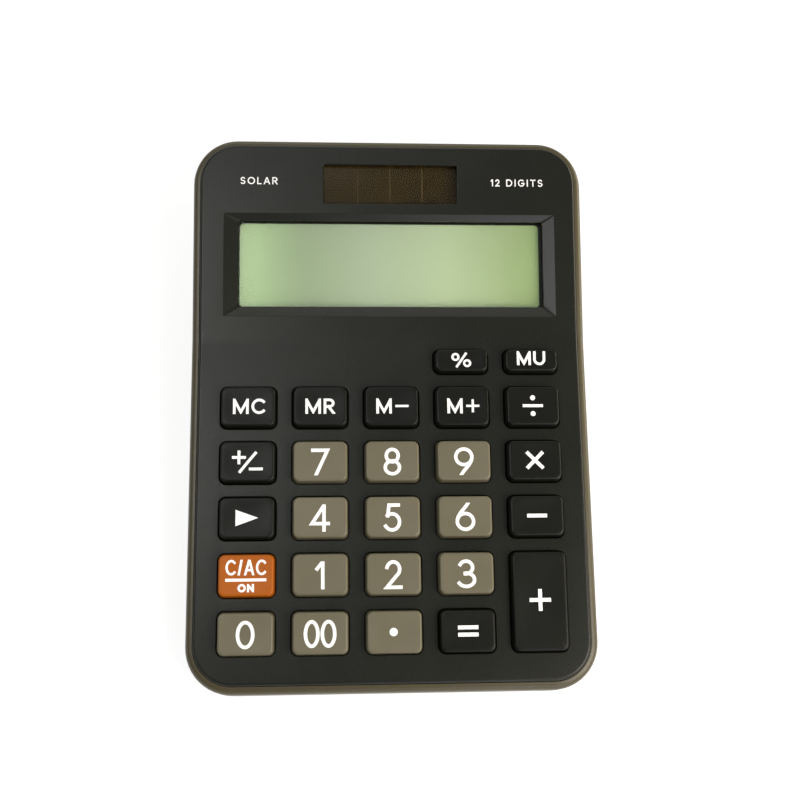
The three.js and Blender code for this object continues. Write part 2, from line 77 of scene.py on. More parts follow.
def addNode(tree, kind, inputs=None, **settings):
    # inputs: a socket is linked, anything else is set on the socket
    node = tree.nodes.new(kind)
    for name, value in settings.items():
        setattr(node, name, value)
    for name, value in (inputs or {}).items():
        if isinstance(value, bpy.types.NodeSocket):
            tree.links.new(value, node.inputs[name])
        else:
            node.inputs[name].default_value = value
    return node


def maths(tree, operation, *values, **settings):
    node = addNode(tree, "ShaderNodeMath", dict(enumerate(values)), operation=operation, **settings)
    return node.outputs[0]


def newMaterial(name, inputs, build=None):
    material = bpy.data.materials.new(name)
    material.use_nodes = True
    tree = material.node_tree
    shader = tree.nodes["Principled BSDF"]
    for key, value in inputs.items():
        shader.inputs[key].default_value = linear(value) if isinstance(value, str) else value
    if build:
        build(tree, shader, addNode(tree, "ShaderNodeTexCoord").outputs["Object"])
    return material


def roundedLoop(width, depth, radius, steps=6, rows=(), pieces=(1, 1)):
    # counter-clockwise, from the right side; rows are extra heights on both long sides, and pieces
    # says into how many the (short, long) sides are cut
    halfX, halfY = width / 2 - radius, depth / 2 - radius
    points = []
    for turn, (sideX, sideY) in enumerate([(1, 1), (-1, 1), (-1, -1), (1, -1)]):
        for step in range(steps + 1):
            angle = (turn + step / steps) * math.pi / 2
            x, y = radius * math.cos(angle), radius * math.sin(angle)
            points.append((sideX * halfX + x, sideY * halfY + y))
        along = [1 - 2 * i / pieces[turn % 2] for i in range(1, pieces[turn % 2])]
        if turn % 2 == 0:
            points += [(sideX * halfX * t, sideY * depth / 2) for t in along]
        elif rows:
            points += [(sideX * width / 2, y) for y in sorted(rows, reverse=sideX < 0)]
        else:
            points += [(sideX * width / 2, sideY * halfY * t) for t in along]
    return points


def circle(x, y, radius, count=24):
    turns = [2 * math.pi * i / count for i in range(count)]
    return [(x + radius * math.cos(turn), y + radius * math.sin(turn)) for turn in turns]


def turned(x, y, angle):
    return x * math.cos(angle) - y * math.sin(angle), x * math.sin(angle) + y * math.cos(angle)


def ring(bm, points):
    return [bm.verts.new(p) for p in points]


def levelRing(bm, points, z):
    return ring(bm, [(x, y, z) for x, y in points])


def onDeck(bm, matrix, points, w):
    return ring(bm, [matrix @ Vector((x, y, w)) for x, y in points])


def bridge(bm, first, second):
    # a row of quads between two closed rings; a ring of one vertex is a pole
    count = max(len(first), len(second))
    for i in range(count):
        j = (i + 1) % count
        corners = []
        for loop, k in ((first, i), (first, j), (second, j), (second, i)):
            if loop[k % len(loop)] not in corners:
                corners.append(loop[k % len(loop)])
        bm.faces.new(corners)


def loft(bm, rings):
    for first, second in zip(rings, rings[1:]):
        bridge(bm, first, second)


def fillLoops(bm, loops):
    # a flat face inside the first loop, with the other loops as its holes
    edges = []
    for loop in loops:
        for i, vert in enumerate(loop):
            edge = bm.edges.get((loop[i - 1], vert)) or bm.edges.new((loop[i - 1], vert))
            edges.append(edge)
    bmesh.ops.triangle_fill(bm, use_beauty=True, use_dissolve=False, edges=edges)


def lathe(bm, profile, segments=32, matrix=Matrix.Identity(4), closed=False):
    # profile: (radius, z) points; a radius of 0 is a pole
    rings = []
    for radius, z in profile:
        turns = segments if radius > 0 else 1
        rings.append(onDeck(bm, matrix, circle(0, 0, radius, turns), z))
    loft(bm, rings + rings[:1] if closed else rings)


def roundedCorner(centreR, centreZ, radius, start, end, steps=4):
    # points of an arc in a lathe profile, angles in degrees
    angles = [math.radians(start + (end - start) * i / steps) for i in range(steps + 1)]
    return [(centreR + radius * math.cos(a), centreZ + radius * math.sin(a)) for a in angles]


def quarterRound(radius, steps):
    # (how far outwards, how far down) along a rounded convex edge, from its top
    turns = [math.pi / 2 * i / steps for i in range(steps + 1)]
    return [(radius * math.sin(t), radius * (1 - math.cos(t))) for t in turns]


def meshInMetres(name, bm):
    bmesh.ops.recalc_face_normals(bm, faces=bm.faces)
    bmesh.ops.scale(bm, vec=(mm, mm, mm), verts=bm.verts)
    mesh = bpy.data.meshes.new(name)
    bm.to_mesh(mesh)
    bm.free()
    return mesh


def placeInMetres(matrix):
    place = matrix.copy()
    place.translation *= mm
    return place


def makePiece(name, bm, material, matrix=None, **ends):
    if matrix is not None:
        bm.transform(matrix)
    mesh = meshInMetres(name, bm)
    mesh.materials.append(material)
    return finishPiece(name, mesh, **ends)


def finishPiece(name, mesh, slot, body="case", replaces=(), sharp=35):
    mesh.shade_smooth()
    mesh.set_sharp_from_angle(angle=math.radians(sharp))
    piece = bpy.data.objects.new(name, mesh)
    bpy.context.scene.collection.objects.link(piece)
    # keeps the flats flat beside a fillet
    weighted = piece.modifiers.new("weightedNormal", "WEIGHTED_NORMAL")
    weighted.keep_sharp = True
    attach(piece, body)
    if replaces:
        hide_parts(*replaces)
    return piece


def newTree(name, sockets):
    tree = bpy.data.node_groups.new(name, "GeometryNodeTree")
    tree.interface.new_socket("Geometry", in_out="INPUT", socket_type="NodeSocketGeometry")
    for key, kind in sockets.items():
        tree.interface.new_socket(key, in_out="INPUT", socket_type=kind)
    tree.interface.new_socket("Geometry", in_out="OUTPUT", socket_type="NodeSocketGeometry")
    return tree, tree.nodes.new("NodeGroupInput").outputs


def closeTree(tree, geometry, material):
    real = addNode(tree, "GeometryNodeRealizeInstances", {"Geometry": geometry})
    painted = addNode(tree, "GeometryNodeSetMaterial", {"Geometry": real.outputs[0], "Material": material})
    addNode(tree, "NodeGroupOutput", {"Geometry": painted.outputs[0]})


def runTree(tree, mesh, values):
    # the mesh that the tree makes from a plain mesh and these sizes
    holder = bpy.data.objects.new("holder", mesh)
    bpy.context.scene.collection.objects.link(holder)
    modifier = holder.modifiers.new(tree.name, "NODES")
    modifier.node_group = tree
    for item in tree.interface.items_tree:
        if item.in_out == "INPUT" and item.name in values:
            modifier[item.identifier] = values[item.name]
    made = bpy.data.meshes.new_from_object(holder.evaluated_get(bpy.context.evaluated_depsgraph_get()))
    bpy.data.objects.remove(holder)
    return made


def pointMesh(points):
    mesh = bpy.data.meshes.new("points")
    mesh.from_pydata([Vector(p) * mm for p in points], [], [])
    return mesh


# the deck: a key plane and a steeper display plane, with a soft bend between them

coverFront = -case["length"] / 2 + case["rimInset"]
bendZ = case["height"] - math.tan(deck["displayTilt"]) * (-coverFront - deck["bendY"])
keyDeckZ = bendZ - math.tan(deck["keyTilt"]) * deck["bendY"]
keyDeck = Matrix.Translation((0, 0, keyDeckZ)) @ Matrix.Rotation(deck["keyTilt"], 4, "X")
displayDeck = Matrix.Translation((0, deck["bendY"], bendZ)) @ Matrix.Rotation(deck["displayTilt"], 4, "X")

halfBend = (deck["displayTilt"] - deck["keyTilt"]) / 2
middleTilt = (deck["displayTilt"] + deck["keyTilt"]) / 2
bendReach = deck["bendRadius"] / math.cos(halfBend)
bendCentreY = deck["bendY"] - bendReach * math.sin(middleTilt)
bendCentreZ = bendZ + bendReach * math.cos(middleTilt)
bendRows = [
    bendCentreY + deck["bendRadius"] * math.sin(deck["keyTilt"] + 2 * halfBend * i / deck["bendSteps"])
    for i in range(deck["bendSteps"] + 1)
]


def deckTilt(y):
    share = min((y - bendCentreY) / deck["bendRadius"], math.sin(deck["displayTilt"]))
    return math.asin(max(share, math.sin(deck["keyTilt"])))


def deckZ(y):
    tilt = deckTilt(y)
    edge = bendCentreY + deck["bendRadius"] * math.sin(tilt)
    return bendCentreZ - deck["bendRadius"] * math.cos(tilt) + math.tan(tilt) * (y - edge)


def caseLoop(inset, drop=None, z=None, square=False):
    # the case's outline drawn in by inset, following the deck at a drop below it, or level at z;
    # a square drop is measured square to the deck, not straight down
    width, length = case["width"] - 2 * inset, case["length"] - 2 * inset
    points = roundedLoop(width, length, max(case["corner"] - inset, 0.5), steps=12, rows=bendRows)
    if z is not None:
        return [(x, y, z) for x, y in points]
    return [(x, y, deckZ(y) - (drop / math.cos(deckTilt(y)) if square else drop)) for x, y in points]


def cloudOf(tree, place, size, detail):
    # soft noise whose coarsest lumps are size mm across
    noise = {"Vector": place, "Scale": 1 / (size * mm), "Detail": detail}
    return addNode(tree, "ShaderNodeTexNoise", noise).outputs["Fac"]


def tintBy(tree, shader, factor, stops):
    # the base colour from a ramp of (position, colour)
    tone = addNode(tree, "ShaderNodeValToRGB", {"Fac": factor})
    for position, colour in stops[2:]:
        tone.color_ramp.elements.new(position)
    for element, (position, colour) in zip(tone.color_ramp.elements, stops):
        element.position, element.color = position, linear(colour)
    tree.links.new(tone.outputs["Color"], shader.inputs["Base Color"])


def glossBy(tree, shader, factor, low, high, rough):
    gloss = addNode(
        tree, "ShaderNodeMapRange",
        {"Value": factor, "From Min": low, "From Max": high, "To Min": rough[0], "To Max": rough[1]},
    )
    tree.links.new(gloss.outputs["Result"], shader.inputs["Roughness"])


def mouldTexture(tree, shader, place, grain, bump, rough, tints):
    # spark-eroded mould texture: fine pits, slightly uneven gloss, faint change of tone
    pits = cloudOf(tree, place, grain, 3.0)
    tintBy(tree, shader, cloudOf(tree, place, 14, 2.0), [(0.3, tints[0]), (0.7, tints[1])])
    glossBy(tree, shader, pits, 0.3, 0.7, rough)
    relief = addNode(tree, "ShaderNodeBump", {"Height": pits, "Strength": 1.0, "Distance": bump * mm})
    tree.links.new(relief.outputs["Normal"], shader.inputs["Normal"])


def moulded(name, tints, grain, bump, rough, specular=0.5, metallic=0.0):
    return newMaterial(
        name, {"IOR": 1.5, "Specular IOR Level": specular, "Metallic": metallic},
        lambda tree, shader, place: mouldTexture(tree, shader, place, grain, bump, rough, tints),
    )


# moulded ABS: a dark cover with a visible fine grain, smoother khaki and keys
blackAbs = moulded("blackAbs", ("#161812", "#1a1c16"), 0.4, 0.007, (0.27, 0.35), 0.3)
# the lower case's khaki is the keys' khaki ABS set darker, as painted shade for its rim
shadedKhakiAbs = moulded("shadedKhakiAbs", ("#433d28", "#47412a"), 0.5, 0.008, (0.32, 0.44))
blackKeyAbs = moulded("blackKeyAbs", ("#0e100c", "#11130e"), 0.35, 0.006, (0.3, 0.4), 0.2)
khakiKeyAbs = moulded("khakiKeyAbs", ("#635e4a", "#686350"), 0.35, 0.006, (0.34, 0.46), 0.4)
orangeKeyAbs = moulded("orangeKeyAbs", ("#a25207", "#a75709"), 0.35, 0.006, (0.34, 0.46), 0.25)
whiteInk = moulded("whiteInk", ("#fbfbfa", "#ffffff"), 0.3, 0.003, (0.4, 0.5))
footRubber = moulded("footRubber", ("#171717", "#1e1e1e"), 0.3, 0.01, (0.75, 0.9))
domeRubber = moulded("domeRubber", ("#8f9290", "#9b9e9b"), 0.4, 0.008, (0.7, 0.85))

# keys, from the front row

keyGrid = dict(pitchX=18.85, pitchV=14.64, frontV=-58.75, smallV=12.3)
keyShape = dict(
    width=14.05, depth=10.5, smallDepth=6.0, rise=2.55, corner=1.55, edge=0.6, draft=0.2, dish=0.22,
    clearance=0.26, lip=0.62, flange=0.9, shell=1.2, stem=1.5, stemTip=1.3, stemDrop=0.9, travel=1.2,
)
keyRows = [
    ["key_0", "key_00", "key_decimal", "key_equals", None],
    ["key_clear_on", "key_1", "key_2", "key_3", "key_plus"],
    ["key_backspace", "key_4", "key_5", "key_6", "key_minus"],
    ["key_sign", "key_7", "key_8", "key_9", "key_multiply"],
    ["key_mc", "key_mr", "key_m_minus", "key_m_plus", "key_divide"],
    [None, None, None, "key_percent", "key_markup"],
]
flangeTop = -(case["wall"] + case["gap"])
flangeBottom = flangeTop - keyShape["flange"]

keys = {}
for row, names in enumerate(keyRows):
    for column, name in enumerate(names):
        if not name:
            continue
        depth = keyShape["smallDepth"] if row == 5 else keyShape["depth"]
        v = keyGrid["smallV"] if row == 5 else keyGrid["frontV"] + row * keyGrid["pitchV"]
        if name == "key_plus":  # twice as tall, over two rows
            depth += keyGrid["pitchV"]
            v -= keyGrid["pitchV"] / 2
        keys[name] = dict(x=(column - 2) * keyGrid["pitchX"], v=v, depth=depth)


def keyLoop(key, grow, radius, w, steps=6, pieces=(1, 1)):
    width, depth = keyShape["width"] + 2 * grow, key["depth"] + 2 * grow
    loop = roundedLoop(width, depth, radius, steps=steps, pieces=pieces)
    return [(x + key["x"], y + key["v"], w) for x, y in loop]


def dishTree():
    # sinks a key's top, and the ink on it, by a shallow dish that dies out at the edges
    tree, given = newTree("keyDish", {
        "Centre": "NodeSocketVector", "Half Width": "NodeSocketFloat", "Half Depth": "NodeSocketFloat",
        "Dish": "NodeSocketFloat", "Above": "NodeSocketFloat", "Material": "NodeSocketMaterial",
    })
    spot = addNode(tree, "GeometryNodeInputPosition").outputs[0]
    away = addNode(tree, "ShaderNodeVectorMath", {0: spot, 1: given["Centre"]}, operation="SUBTRACT")
    part = addNode(tree, "ShaderNodeSeparateXYZ", {0: away.outputs[0]}).outputs
    falls = []
    for axis, half in ((0, "Half Width"), (1, "Half Depth")):
        share = maths(tree, "DIVIDE", part[axis], given[half])
        square = maths(tree, "MULTIPLY", share, share)
        falls.append(maths(tree, "SUBTRACT", 1.0, square, use_clamp=True))
    sink = maths(tree, "MULTIPLY", maths(tree, "MULTIPLY", *falls), given["Dish"])
    offset = addNode(tree, "ShaderNodeCombineXYZ", {"Z": maths(tree, "MULTIPLY", sink, -1.0)})
    high = addNode(tree, "FunctionNodeCompare", {0: part[2], 1: given["Above"]}, operation="GREATER_THAN")
    moved = addNode(
        tree, "GeometryNodeSetPosition",
        {"Geometry": given["Geometry"], "Selection": high.outputs[0], "Offset": offset.outputs[0]},
    )
    closeTree(tree, moved.outputs[0], given["Material"])
    return tree


keyDish = dishTree()


def dished(bm, key, material):
    # the key's own frame is level while the dish is made, then the mesh is laid on the deck
    inner = keyShape["edge"]
    made = runTree(keyDish, meshInMetres("level", bm), {
        "Centre": (key["x"] * mm, key["v"] * mm, 0.0), "Half Width": (keyShape["width"] / 2 - inner) * mm,
        "Half Depth": (key["depth"] / 2 - inner) * mm, "Dish": keyShape["dish"] * mm, "Above": 0.5 * mm,
        "Material": material,
    })
    made.transform(placeInMetres(keyDeck))
    return made


def keyCap(key):
    bm = bmesh.new()
    shape = keyShape
    sides = dict(steps=6, pieces=(10, 6 if key["depth"] < 12 else 16))
    rings = [keyLoop(key, shape["draft"] * (1 - w / shape["rise"]), shape["corner"], w, **sides)
             for w in (flangeTop, 0.0)]
    for out, down in reversed(quarterRound(shape["edge"], 5)):
        inset = shape["edge"] - out
        rings.append(keyLoop(key, -inset, shape["corner"] - inset, shape["rise"] - down, **sides))
    inner = rings[-1]
    for share in (0.86, 0.7, 0.53, 0.35, 0.17):
        rings.append([(key["x"] + (x - key["x"]) * share, key["v"] + (y - key["v"]) * share, w)
                      for x, y, w in inner])
    lip = shape["draft"] + shape["clearance"] + shape["lip"]
    under = [
        keyLoop(key, lip, shape["corner"] + 0.8, flangeTop, **sides),
        keyLoop(key, lip, shape["corner"] + 0.8, flangeBottom, **sides),
        keyLoop(key, -shape["shell"], 0.6, flangeBottom, **sides),
        keyLoop(key, -shape["shell"], 0.6, shape["rise"] - shape["shell"], **sides),
    ]
    rows = [ring(bm, points) for points in reversed(under)] + [ring(bm, points) for points in rings]
    loft(bm, rows)
    bm.faces.new(rows[-1])
    stemEnd = flangeBottom - shape["stemDrop"]
    stem = [levelRing(bm, circle(key["x"], key["v"], radius), w)
            for radius, w in ((shape["stem"], shape["rise"] - shape["shell"]),
                              (shape["stem"], stemEnd + 0.2), (shape["stemTip"], stemEnd))]
    loft(bm, stem)
    bm.faces.new(stem[-1])
    fillLoops(bm, [rows[0], stem[0]])
    return bm


def keyFinish(name):
    if name == "key_clear_on":
        return orangeKeyAbs, "orange_key"
    if name[4:].isdigit() or name == "key_decimal":
        return khakiKeyAbs, "khaki_key"
    return blackKeyAbs, "black_key"


for name, key in keys.items():
    material, slot = keyFinish(name)
    mesh = dished(keyCap(key), key, material)
    finishPiece("cap_" + name[4:], mesh, slot, name, [name])
print("keys", len(keys))


def arc(x, y, radiusX, radiusY, start, end, count=18):
    angles = [math.radians(start + (end - start) * i / count) for i in range(count + 1)]
    return [(x + radiusX * math.cos(a), y + radiusY * math.sin(a)) for a in angles]


def curve(a, b, c, d, count=14):
    points = []
    for i in range(count + 1):
        t = i / count
        weights = ((1 - t) ** 3, 3 * t * (1 - t) ** 2, 3 * t * t * (1 - t), t ** 3)
        points.append(tuple(sum(w * p[k] for w, p in zip(weights, (a, b, c, d))) for k in (0, 1)))
    return points


# each glyph: its width over its height, then its strokes in a unit square; a closed one ends where it starts
over = 0.06  # how far a slanting stroke runs past the line that trims it
glyphs = {
    "0": (0.67, [arc(0.5, 0.5, 0.5, 0.5, 90, 450, 48)]),
    "1": (0.35, [[(0.0, 0.77), (0.93, 1.06), (0.93, -over)]]),
    "2": (0.61, [arc(0.47, 0.71, 0.46, 0.29, 165, -32, 20) + [(0.0, 0.0), (1.0, 0.0)]]),
    "3": (0.66, [arc(0.46, 0.75, 0.43, 0.25, 152, -90, 20) + [(0.4, 0.5)],
                 [(0.4, 0.52)] + arc(0.46, 0.265, 0.54, 0.265, 90, -150, 22)]),
    "4": (0.72, [[(0.74, -over), (0.74, 1.04), (0.0, 0.27), (1.0, 0.27)]]),
    "5": (0.58, [[(0.92, 1.0), (0.2, 1.0), (0.1, 0.58)], arc(0.42, 0.325, 0.58, 0.325, 128, -148, 24)]),
    "6": (0.7, [arc(0.5, 0.32, 0.5, 0.32, 180, 540, 40),
                curve((0.7, 1.08), (0.46, 0.8), (0.0, 0.62), (0.0, 0.32))]),
    "7": (0.67, [[(0.0, 1.0), (1.0, 1.0), (0.22, -over)]]),
    "8": (0.63, [arc(0.5, 0.745, 0.42, 0.255, 90, 450, 36), arc(0.5, 0.265, 0.5, 0.265, 90, 450, 40)]),
    "9": (0.7, [arc(0.5, 0.68, 0.5, 0.32, 0, 360, 40),
                curve((0.3, -0.08), (0.54, 0.2), (1.0, 0.38), (1.0, 0.68))]),
    "A": (0.86, [[(-0.02, -over), (0.5, 1.1), (1.02, -over)], [(0.2, 0.3), (0.8, 0.3)]]),
    "C": (0.9, [arc(0.56, 0.5, 0.56, 0.5, 46, 314, 28)]),
    "D": (0.84, [[(0.0, 0.0), (0.0, 1.0)] + arc(0.4, 0.5, 0.6, 0.5, 90, -90, 22) + [(0.0, 0.0)]]),
    "G": (0.9, [arc(0.52, 0.5, 0.52, 0.5, 48, 346, 28) + [(1.02, 0.46), (0.6, 0.46)]]),
    "I": (0.2, [[(0.5, 0.0), (0.5, 1.0)]]),
    "L": (0.58, [[(0.0, 1.0 + over), (0.0, 0.0), (1.0, 0.0)]]),
    "M": (1.0, [[(0.0, -over), (0.0, 1.0), (0.5, 0.06), (1.0, 1.0), (1.0, -over)]]),
    "N": (0.84, [[(0.0, -over), (0.0, 1.0), (1.0, 0.0), (1.0, 1.0 + over)]]),
    "O": (1.0, [arc(0.5, 0.5, 0.5, 0.5, 90, 450, 40)]),
    "R": (0.72, [[(0.0, -over), (0.0, 1.0)] + arc(0.5, 0.735, 0.46, 0.265, 90, -90, 18) + [(0.0, 0.47)],
                 [(0.42, 0.47), (1.02, -over)]]),
    "S": (0.66, [arc(0.5, 0.75, 0.47, 0.25, 30, 270, 20) + arc(0.5, 0.25, 0.5, 0.25, 90, -150, 20)[1:]]),
    "T": (0.74, [[(0.0, 1.0), (1.0, 1.0)], [(0.5, 1.0), (0.5, -over)]]),
    "U": (0.86, [[(0.0, 1.0 + over)] + arc(0.5, 0.4, 0.5, 0.4, 180, 360, 22) + [(1.0, 1.0 + over)]]),
    " ": (0.3, []),
    "/": (0.42, [[(-0.02, -over), (1.02, 1.0 + over)]]),
}


def glyphParts(strokes, x, y, width, height, stroke):
    # one list of quads for each stroke, cut off level at the top and bottom of the glyph
    parts = []
    for centreline in strokes:
        points = [(x + stroke / 2 + u * (width - stroke), y + stroke / 2 + v * (height - stroke))
                  for u, v in centreline]
        closed = math.dist(points[0], points[-1]) < 1e-6
        points = points[:-1] if closed else stretched(points, stroke / 2)
        fine = [points[0]]
        for a, b in zip(points, points[1:]):
            count = max(1, round(math.dist(a, b)))  # a point about every millimetre, to follow the dish
            fine += [(a[0] + (b[0] - a[0]) * i / count, a[1] + (b[1] - a[1]) * i / count)
                     for i in range(1, count + 1)]
        quads = []
        for quad in strokeQuads(fine, stroke / 2, closed):
            for limit, above in ((y, True), (y + height, False)):
                quad = cutLevel(quad, limit, above)
            if len(quad) > 2:
                quads.append(quad)
        parts.append(quads)
    return parts


def stretched(points, reach):
    # both ends of a line run on by reach
    ends = []
    for (ax, ay), (bx, by) in ((points[0], points[1]), (points[-1], points[-2])):
        share = reach / math.dist((ax, ay), (bx, by))
        ends.append((ax + (ax - bx) * share, ay + (ay - by) * share))
    return [ends[0]] + points[1:-1] + [ends[1]]


def strokeQuads(points, half, closed=False):
    # the quads of a stroke along its centreline, mitred where it turns
    count = len(points)
    sides = []
    for i, (x, y) in enumerate(points):
        spans = []
        if closed or i:
            spans.append((points[i - 1], (x, y)))
        if closed or i < count - 1:
            spans.append(((x, y), points[(i + 1) % count]))
        normals = [((a[1] - b[1]) / math.dist(a, b), (b[0] - a[0]) / math.dist(a, b)) for a, b in spans]
        nx, ny = sum(n[0] for n in normals) / len(normals), sum(n[1] for n in normals) / len(normals)
        reach = half / max(nx * nx + ny * ny, 0.04)
        sides.append(((x + nx * reach, y + ny * reach), (x - nx * reach, y - ny * reach)))
    followers = sides[1:] + sides[:1] if closed else sides[1:]
    return [[a, b, d, c] for (a, b), (c, d) in zip(sides, followers)]


def cutLevel(points, limit, above):
    kept = []
    for i, (x, y) in enumerate(points):
        px, py = points[i - 1]
        inside, wasInside = [q == limit or (q > limit) == above for q in (y, py)]
        if inside != wasInside:
            kept.append((px + (x - px) * (limit - py) / (y - py), limit))
        if inside:
            kept.append((x, y))
    return kept


def wordParts(text, centre, height, stroke, space=0.2, width=None):
    # a word about a centre; width overrides the width that its glyphs have by themselves
    spans = [glyphs[letter][0] * height for letter in text]
    gaps = space * height * (len(text) - 1)
    if width:
        spans = [span * (width - gaps) / sum(spans) for span in spans]
    x, parts = centre[0] - (sum(spans) + gaps) / 2, []
    for letter, span in zip(text, spans):
        parts += glyphParts(glyphs[letter][1], x, centre[1] - height / 2, span, height, stroke)
        x += span + space * height
    return parts


def barParts(x, y, width, height):
    count = max(1, round(width))
    edges = [x - width / 2 + width * i / count for i in range(count + 1)]
    low, high = y - height / 2, y + height / 2
    return [[[(a, low), (b, low), (b, high), (a, high)] for a, b in zip(edges, edges[1:])]]


def dotParts(x, y, radius):
    return [[[(px + x, py + y) for px, py in arc(0, 0, radius, radius, 0, 345, 23)]]]


def crossParts(x, y, size, stroke, turn=0):
    # an even cross as one outline
    half, side = size / 2, stroke / 2
    points = []
    for quarter in range(4):
        angle = math.radians(turn + 90 * quarter)
        for px, py in ((side, side), (side, half), (-side, half)):
            px, py = turned(px, py, angle)
            points.append((x + px, y + py))
    return [[points]]


def ovalParts(x, y, radius, stroke):
    return glyphParts(glyphs["O"][1], x - radius, y - radius, 2 * radius, 2 * radius, stroke)


digit = dict(height=7.05, stroke=0.9, lower=-0.2, overshoot=0.3)
letter = dict(height=4.1, stroke=0.7, space=0.17)
sign = dict(size=5.55, stroke=0.98)
words = {"mc": ("MC", 0.3), "mr": ("MR", 0)}  # each with how far to the right it is printed


def legendParts(label):
    # what is printed on each key, about the key's middle
    size, stroke = sign["size"], sign["stroke"]
    if label == "00":
        height = digit["height"] - 0.1
        return wordParts("00", (0, digit["lower"]), height, digit["stroke"], space=0.03, width=8.3)
    if label.isdigit():
        # round digits stand a little taller than flat ones
        height = digit["height"] + (digit["overshoot"] if label in "235689" else 0)
        return wordParts(label, (0, digit["lower"]), height, digit["stroke"])
    if label == "markup":
        return wordParts("MU", (0, 0.5), letter["height"] - 0.3, letter["stroke"], space=letter["space"])
    if label in words:
        word, right = words[label]
        return wordParts(word, (right, 0), letter["height"], letter["stroke"], space=letter["space"])
    if label in ("m_plus", "m_minus"):
        small, thin = 3.5, 0.6
        mark = crossParts(2.75, 0, small, thin)
        if label == "m_minus":
            mark = barParts(2.75, 0, small, thin)
        return wordParts("M", (-2.0, 0), letter["height"], letter["stroke"]) + mark
    if label == "clear_on":
        underline = barParts(0, -1.15, 10.4, 0.75)
        return (wordParts("C/AC", (0, 2.0), 3.95, 0.6, space=0.1, width=10.4) + underline
                + wordParts("ON", (0, -3.2), 2.1, 0.55, space=0.14))
    if label == "decimal":
        return dotParts(-0.2, 0.0, 1.05)
    if label == "equals":
        return barParts(0, 0.9, size - 0.3, stroke) + barParts(0, -0.9, size - 0.3, stroke)
    if label == "plus":
        return crossParts(0, 0.25, size, stroke)
    if label == "minus":
        return barParts(0, 0, size - 0.3, stroke)
    if label == "multiply":
        return crossParts(0, 0, size + 0.6, stroke - 0.05, 45)
    if label == "divide":
        return barParts(0, 0, size - 0.1, stroke - 0.2) + dotParts(0, 2.15, 0.68) + dotParts(0, -2.15, 0.68)
    if label == "backspace":
        return [[[(-2.85, 2.1), (-2.85, -2.1), (2.95, 0.0)]]]
    if label == "sign":
        slash = [strokeQuads([(-2.1, -2.9), (0, -0.25), (2.3, 2.5)], 0.36)]
        return crossParts(-2.2, 1.1, 3.6, 0.74) + slash + barParts(2.2, -1.95, 3.6, 0.74)
    slash = [strokeQuads([(-1.4, -2.0), (0, 0), (1.4, 2.0)], 0.31)]
    return ovalParts(-1.55, 0.85, 1.1, 0.6) + ovalParts(1.55, -0.85, 1.1, 0.6) + slash  # percent


def inkSolid(parts, centre, low, high):
    # each part as a thin closed solid by itself
    bm = bmesh.new()
    for polygons in parts:
        flat = bmesh.new()
        for points in polygons:
            flat.faces.new([flat.verts.new((x + centre[0], y + centre[1], low)) for x, y in points])
        bmesh.ops.remove_doubles(flat, verts=flat.verts, dist=0.002)
        bmesh.ops.triangulate(flat, faces=[face for face in flat.faces if len(face.verts) > 4])
        bmesh.ops.recalc_face_normals(flat, faces=flat.faces)
        top = bmesh.ops.extrude_face_region(flat, geom=flat.faces[:])
        raised = [vert for vert in top["geom"] if isinstance(vert, bmesh.types.BMVert)]
        bmesh.ops.translate(flat, vec=(0, 0, high - low), verts=raised)
        bmesh.ops.recalc_face_normals(flat, faces=flat.faces)
        part = bpy.data.meshes.new("stroke")
        flat.to_mesh(part)
        flat.free()
        bm.from_mesh(part)
        bpy.data.meshes.remove(part)
    return bm


inkDepth = dict(below=0.02, above=0.035)  # sunk a little, so that its edge meets the key all round
for name, key in keys.items():
    low, high = keyShape["rise"] - inkDepth["below"], keyShape["rise"] + inkDepth["above"]
    mesh = dished(inkSolid(legendParts(name[4:]), (key["x"], key["v"]), low, high), key, whiteInk)
    finishPiece("legend_" + name[4:], mesh, keyFinish(name)[1], name, sharp=60)
print("legends")

# top cover, of black ABS, with its key holes, mitred display bezel and window pockets
cover = dict(skirt=5.0, edge=0.8, holeEdge=0.22, bezelEdge=0.16, frameBottom=-2.6, pocketCorner=0.5)
display = dict(
    width=83.4, depth=23.8, x=0.65, v=20.7, corner=0.9, drop=1.3,
    pocketTop=-1.9, pocketMargin=1.7, frameMargin=2.4,
)
bezel = dict(width=90.2, depth=28.4, x=0.25, v=20.1, corner=0.5)
solar = dict(
    width=36.7, depth=11.0, x=0.35, v=42.6, corner=0.6,
    pocketTop=-1.3, pocketMargin=2.0, frameMargin=2.5,
)
deckCorner = 5  # steps in each rounded corner of an opening


def outlineInDeck(size, grow=0.0, corner=None):
    width, depth = size["width"] + 2 * grow, size["depth"] + 2 * grow
    loop = roundedLoop(width, depth, corner or size["corner"] + grow, steps=deckCorner)
    return [(x + size.get("x", 0), y + size["v"]) for x, y in loop]


def deckFill(bm, loops, drop):
    # a skin over the deck between loops of vertices, bent along the deck's soft bend
    flat = bmesh.new()
    copies = {}
    for loop in loops:
        made = [flat.verts.new((vert.co.x, vert.co.y, 0)) for vert in loop]
        copies.update(zip(made, loop))
        for i, vert in enumerate(made):
            flat.edges.new((made[i - 1], vert))
    bmesh.ops.triangle_fill(flat, use_beauty=True, use_dissolve=False, edges=flat.edges[:])
    for y in bendRows:
        everything = flat.verts[:] + flat.edges[:] + flat.faces[:]
        bmesh.ops.bisect_plane(flat, geom=everything, dist=1e-4, plane_co=(0, y, 0), plane_no=(0, 1, 0))
    twins = {}
    for vert in flat.verts:
        if vert in copies:
            twins[vert] = copies[vert]
        else:
            place = (vert.co.x, vert.co.y, deckZ(vert.co.y) - drop / math.cos(deckTilt(vert.co.y)))
            twins[vert] = bm.verts.new(place)
    for face in flat.faces:
        bm.faces.new([twins[vert] for vert in face.verts])
    flat.free()


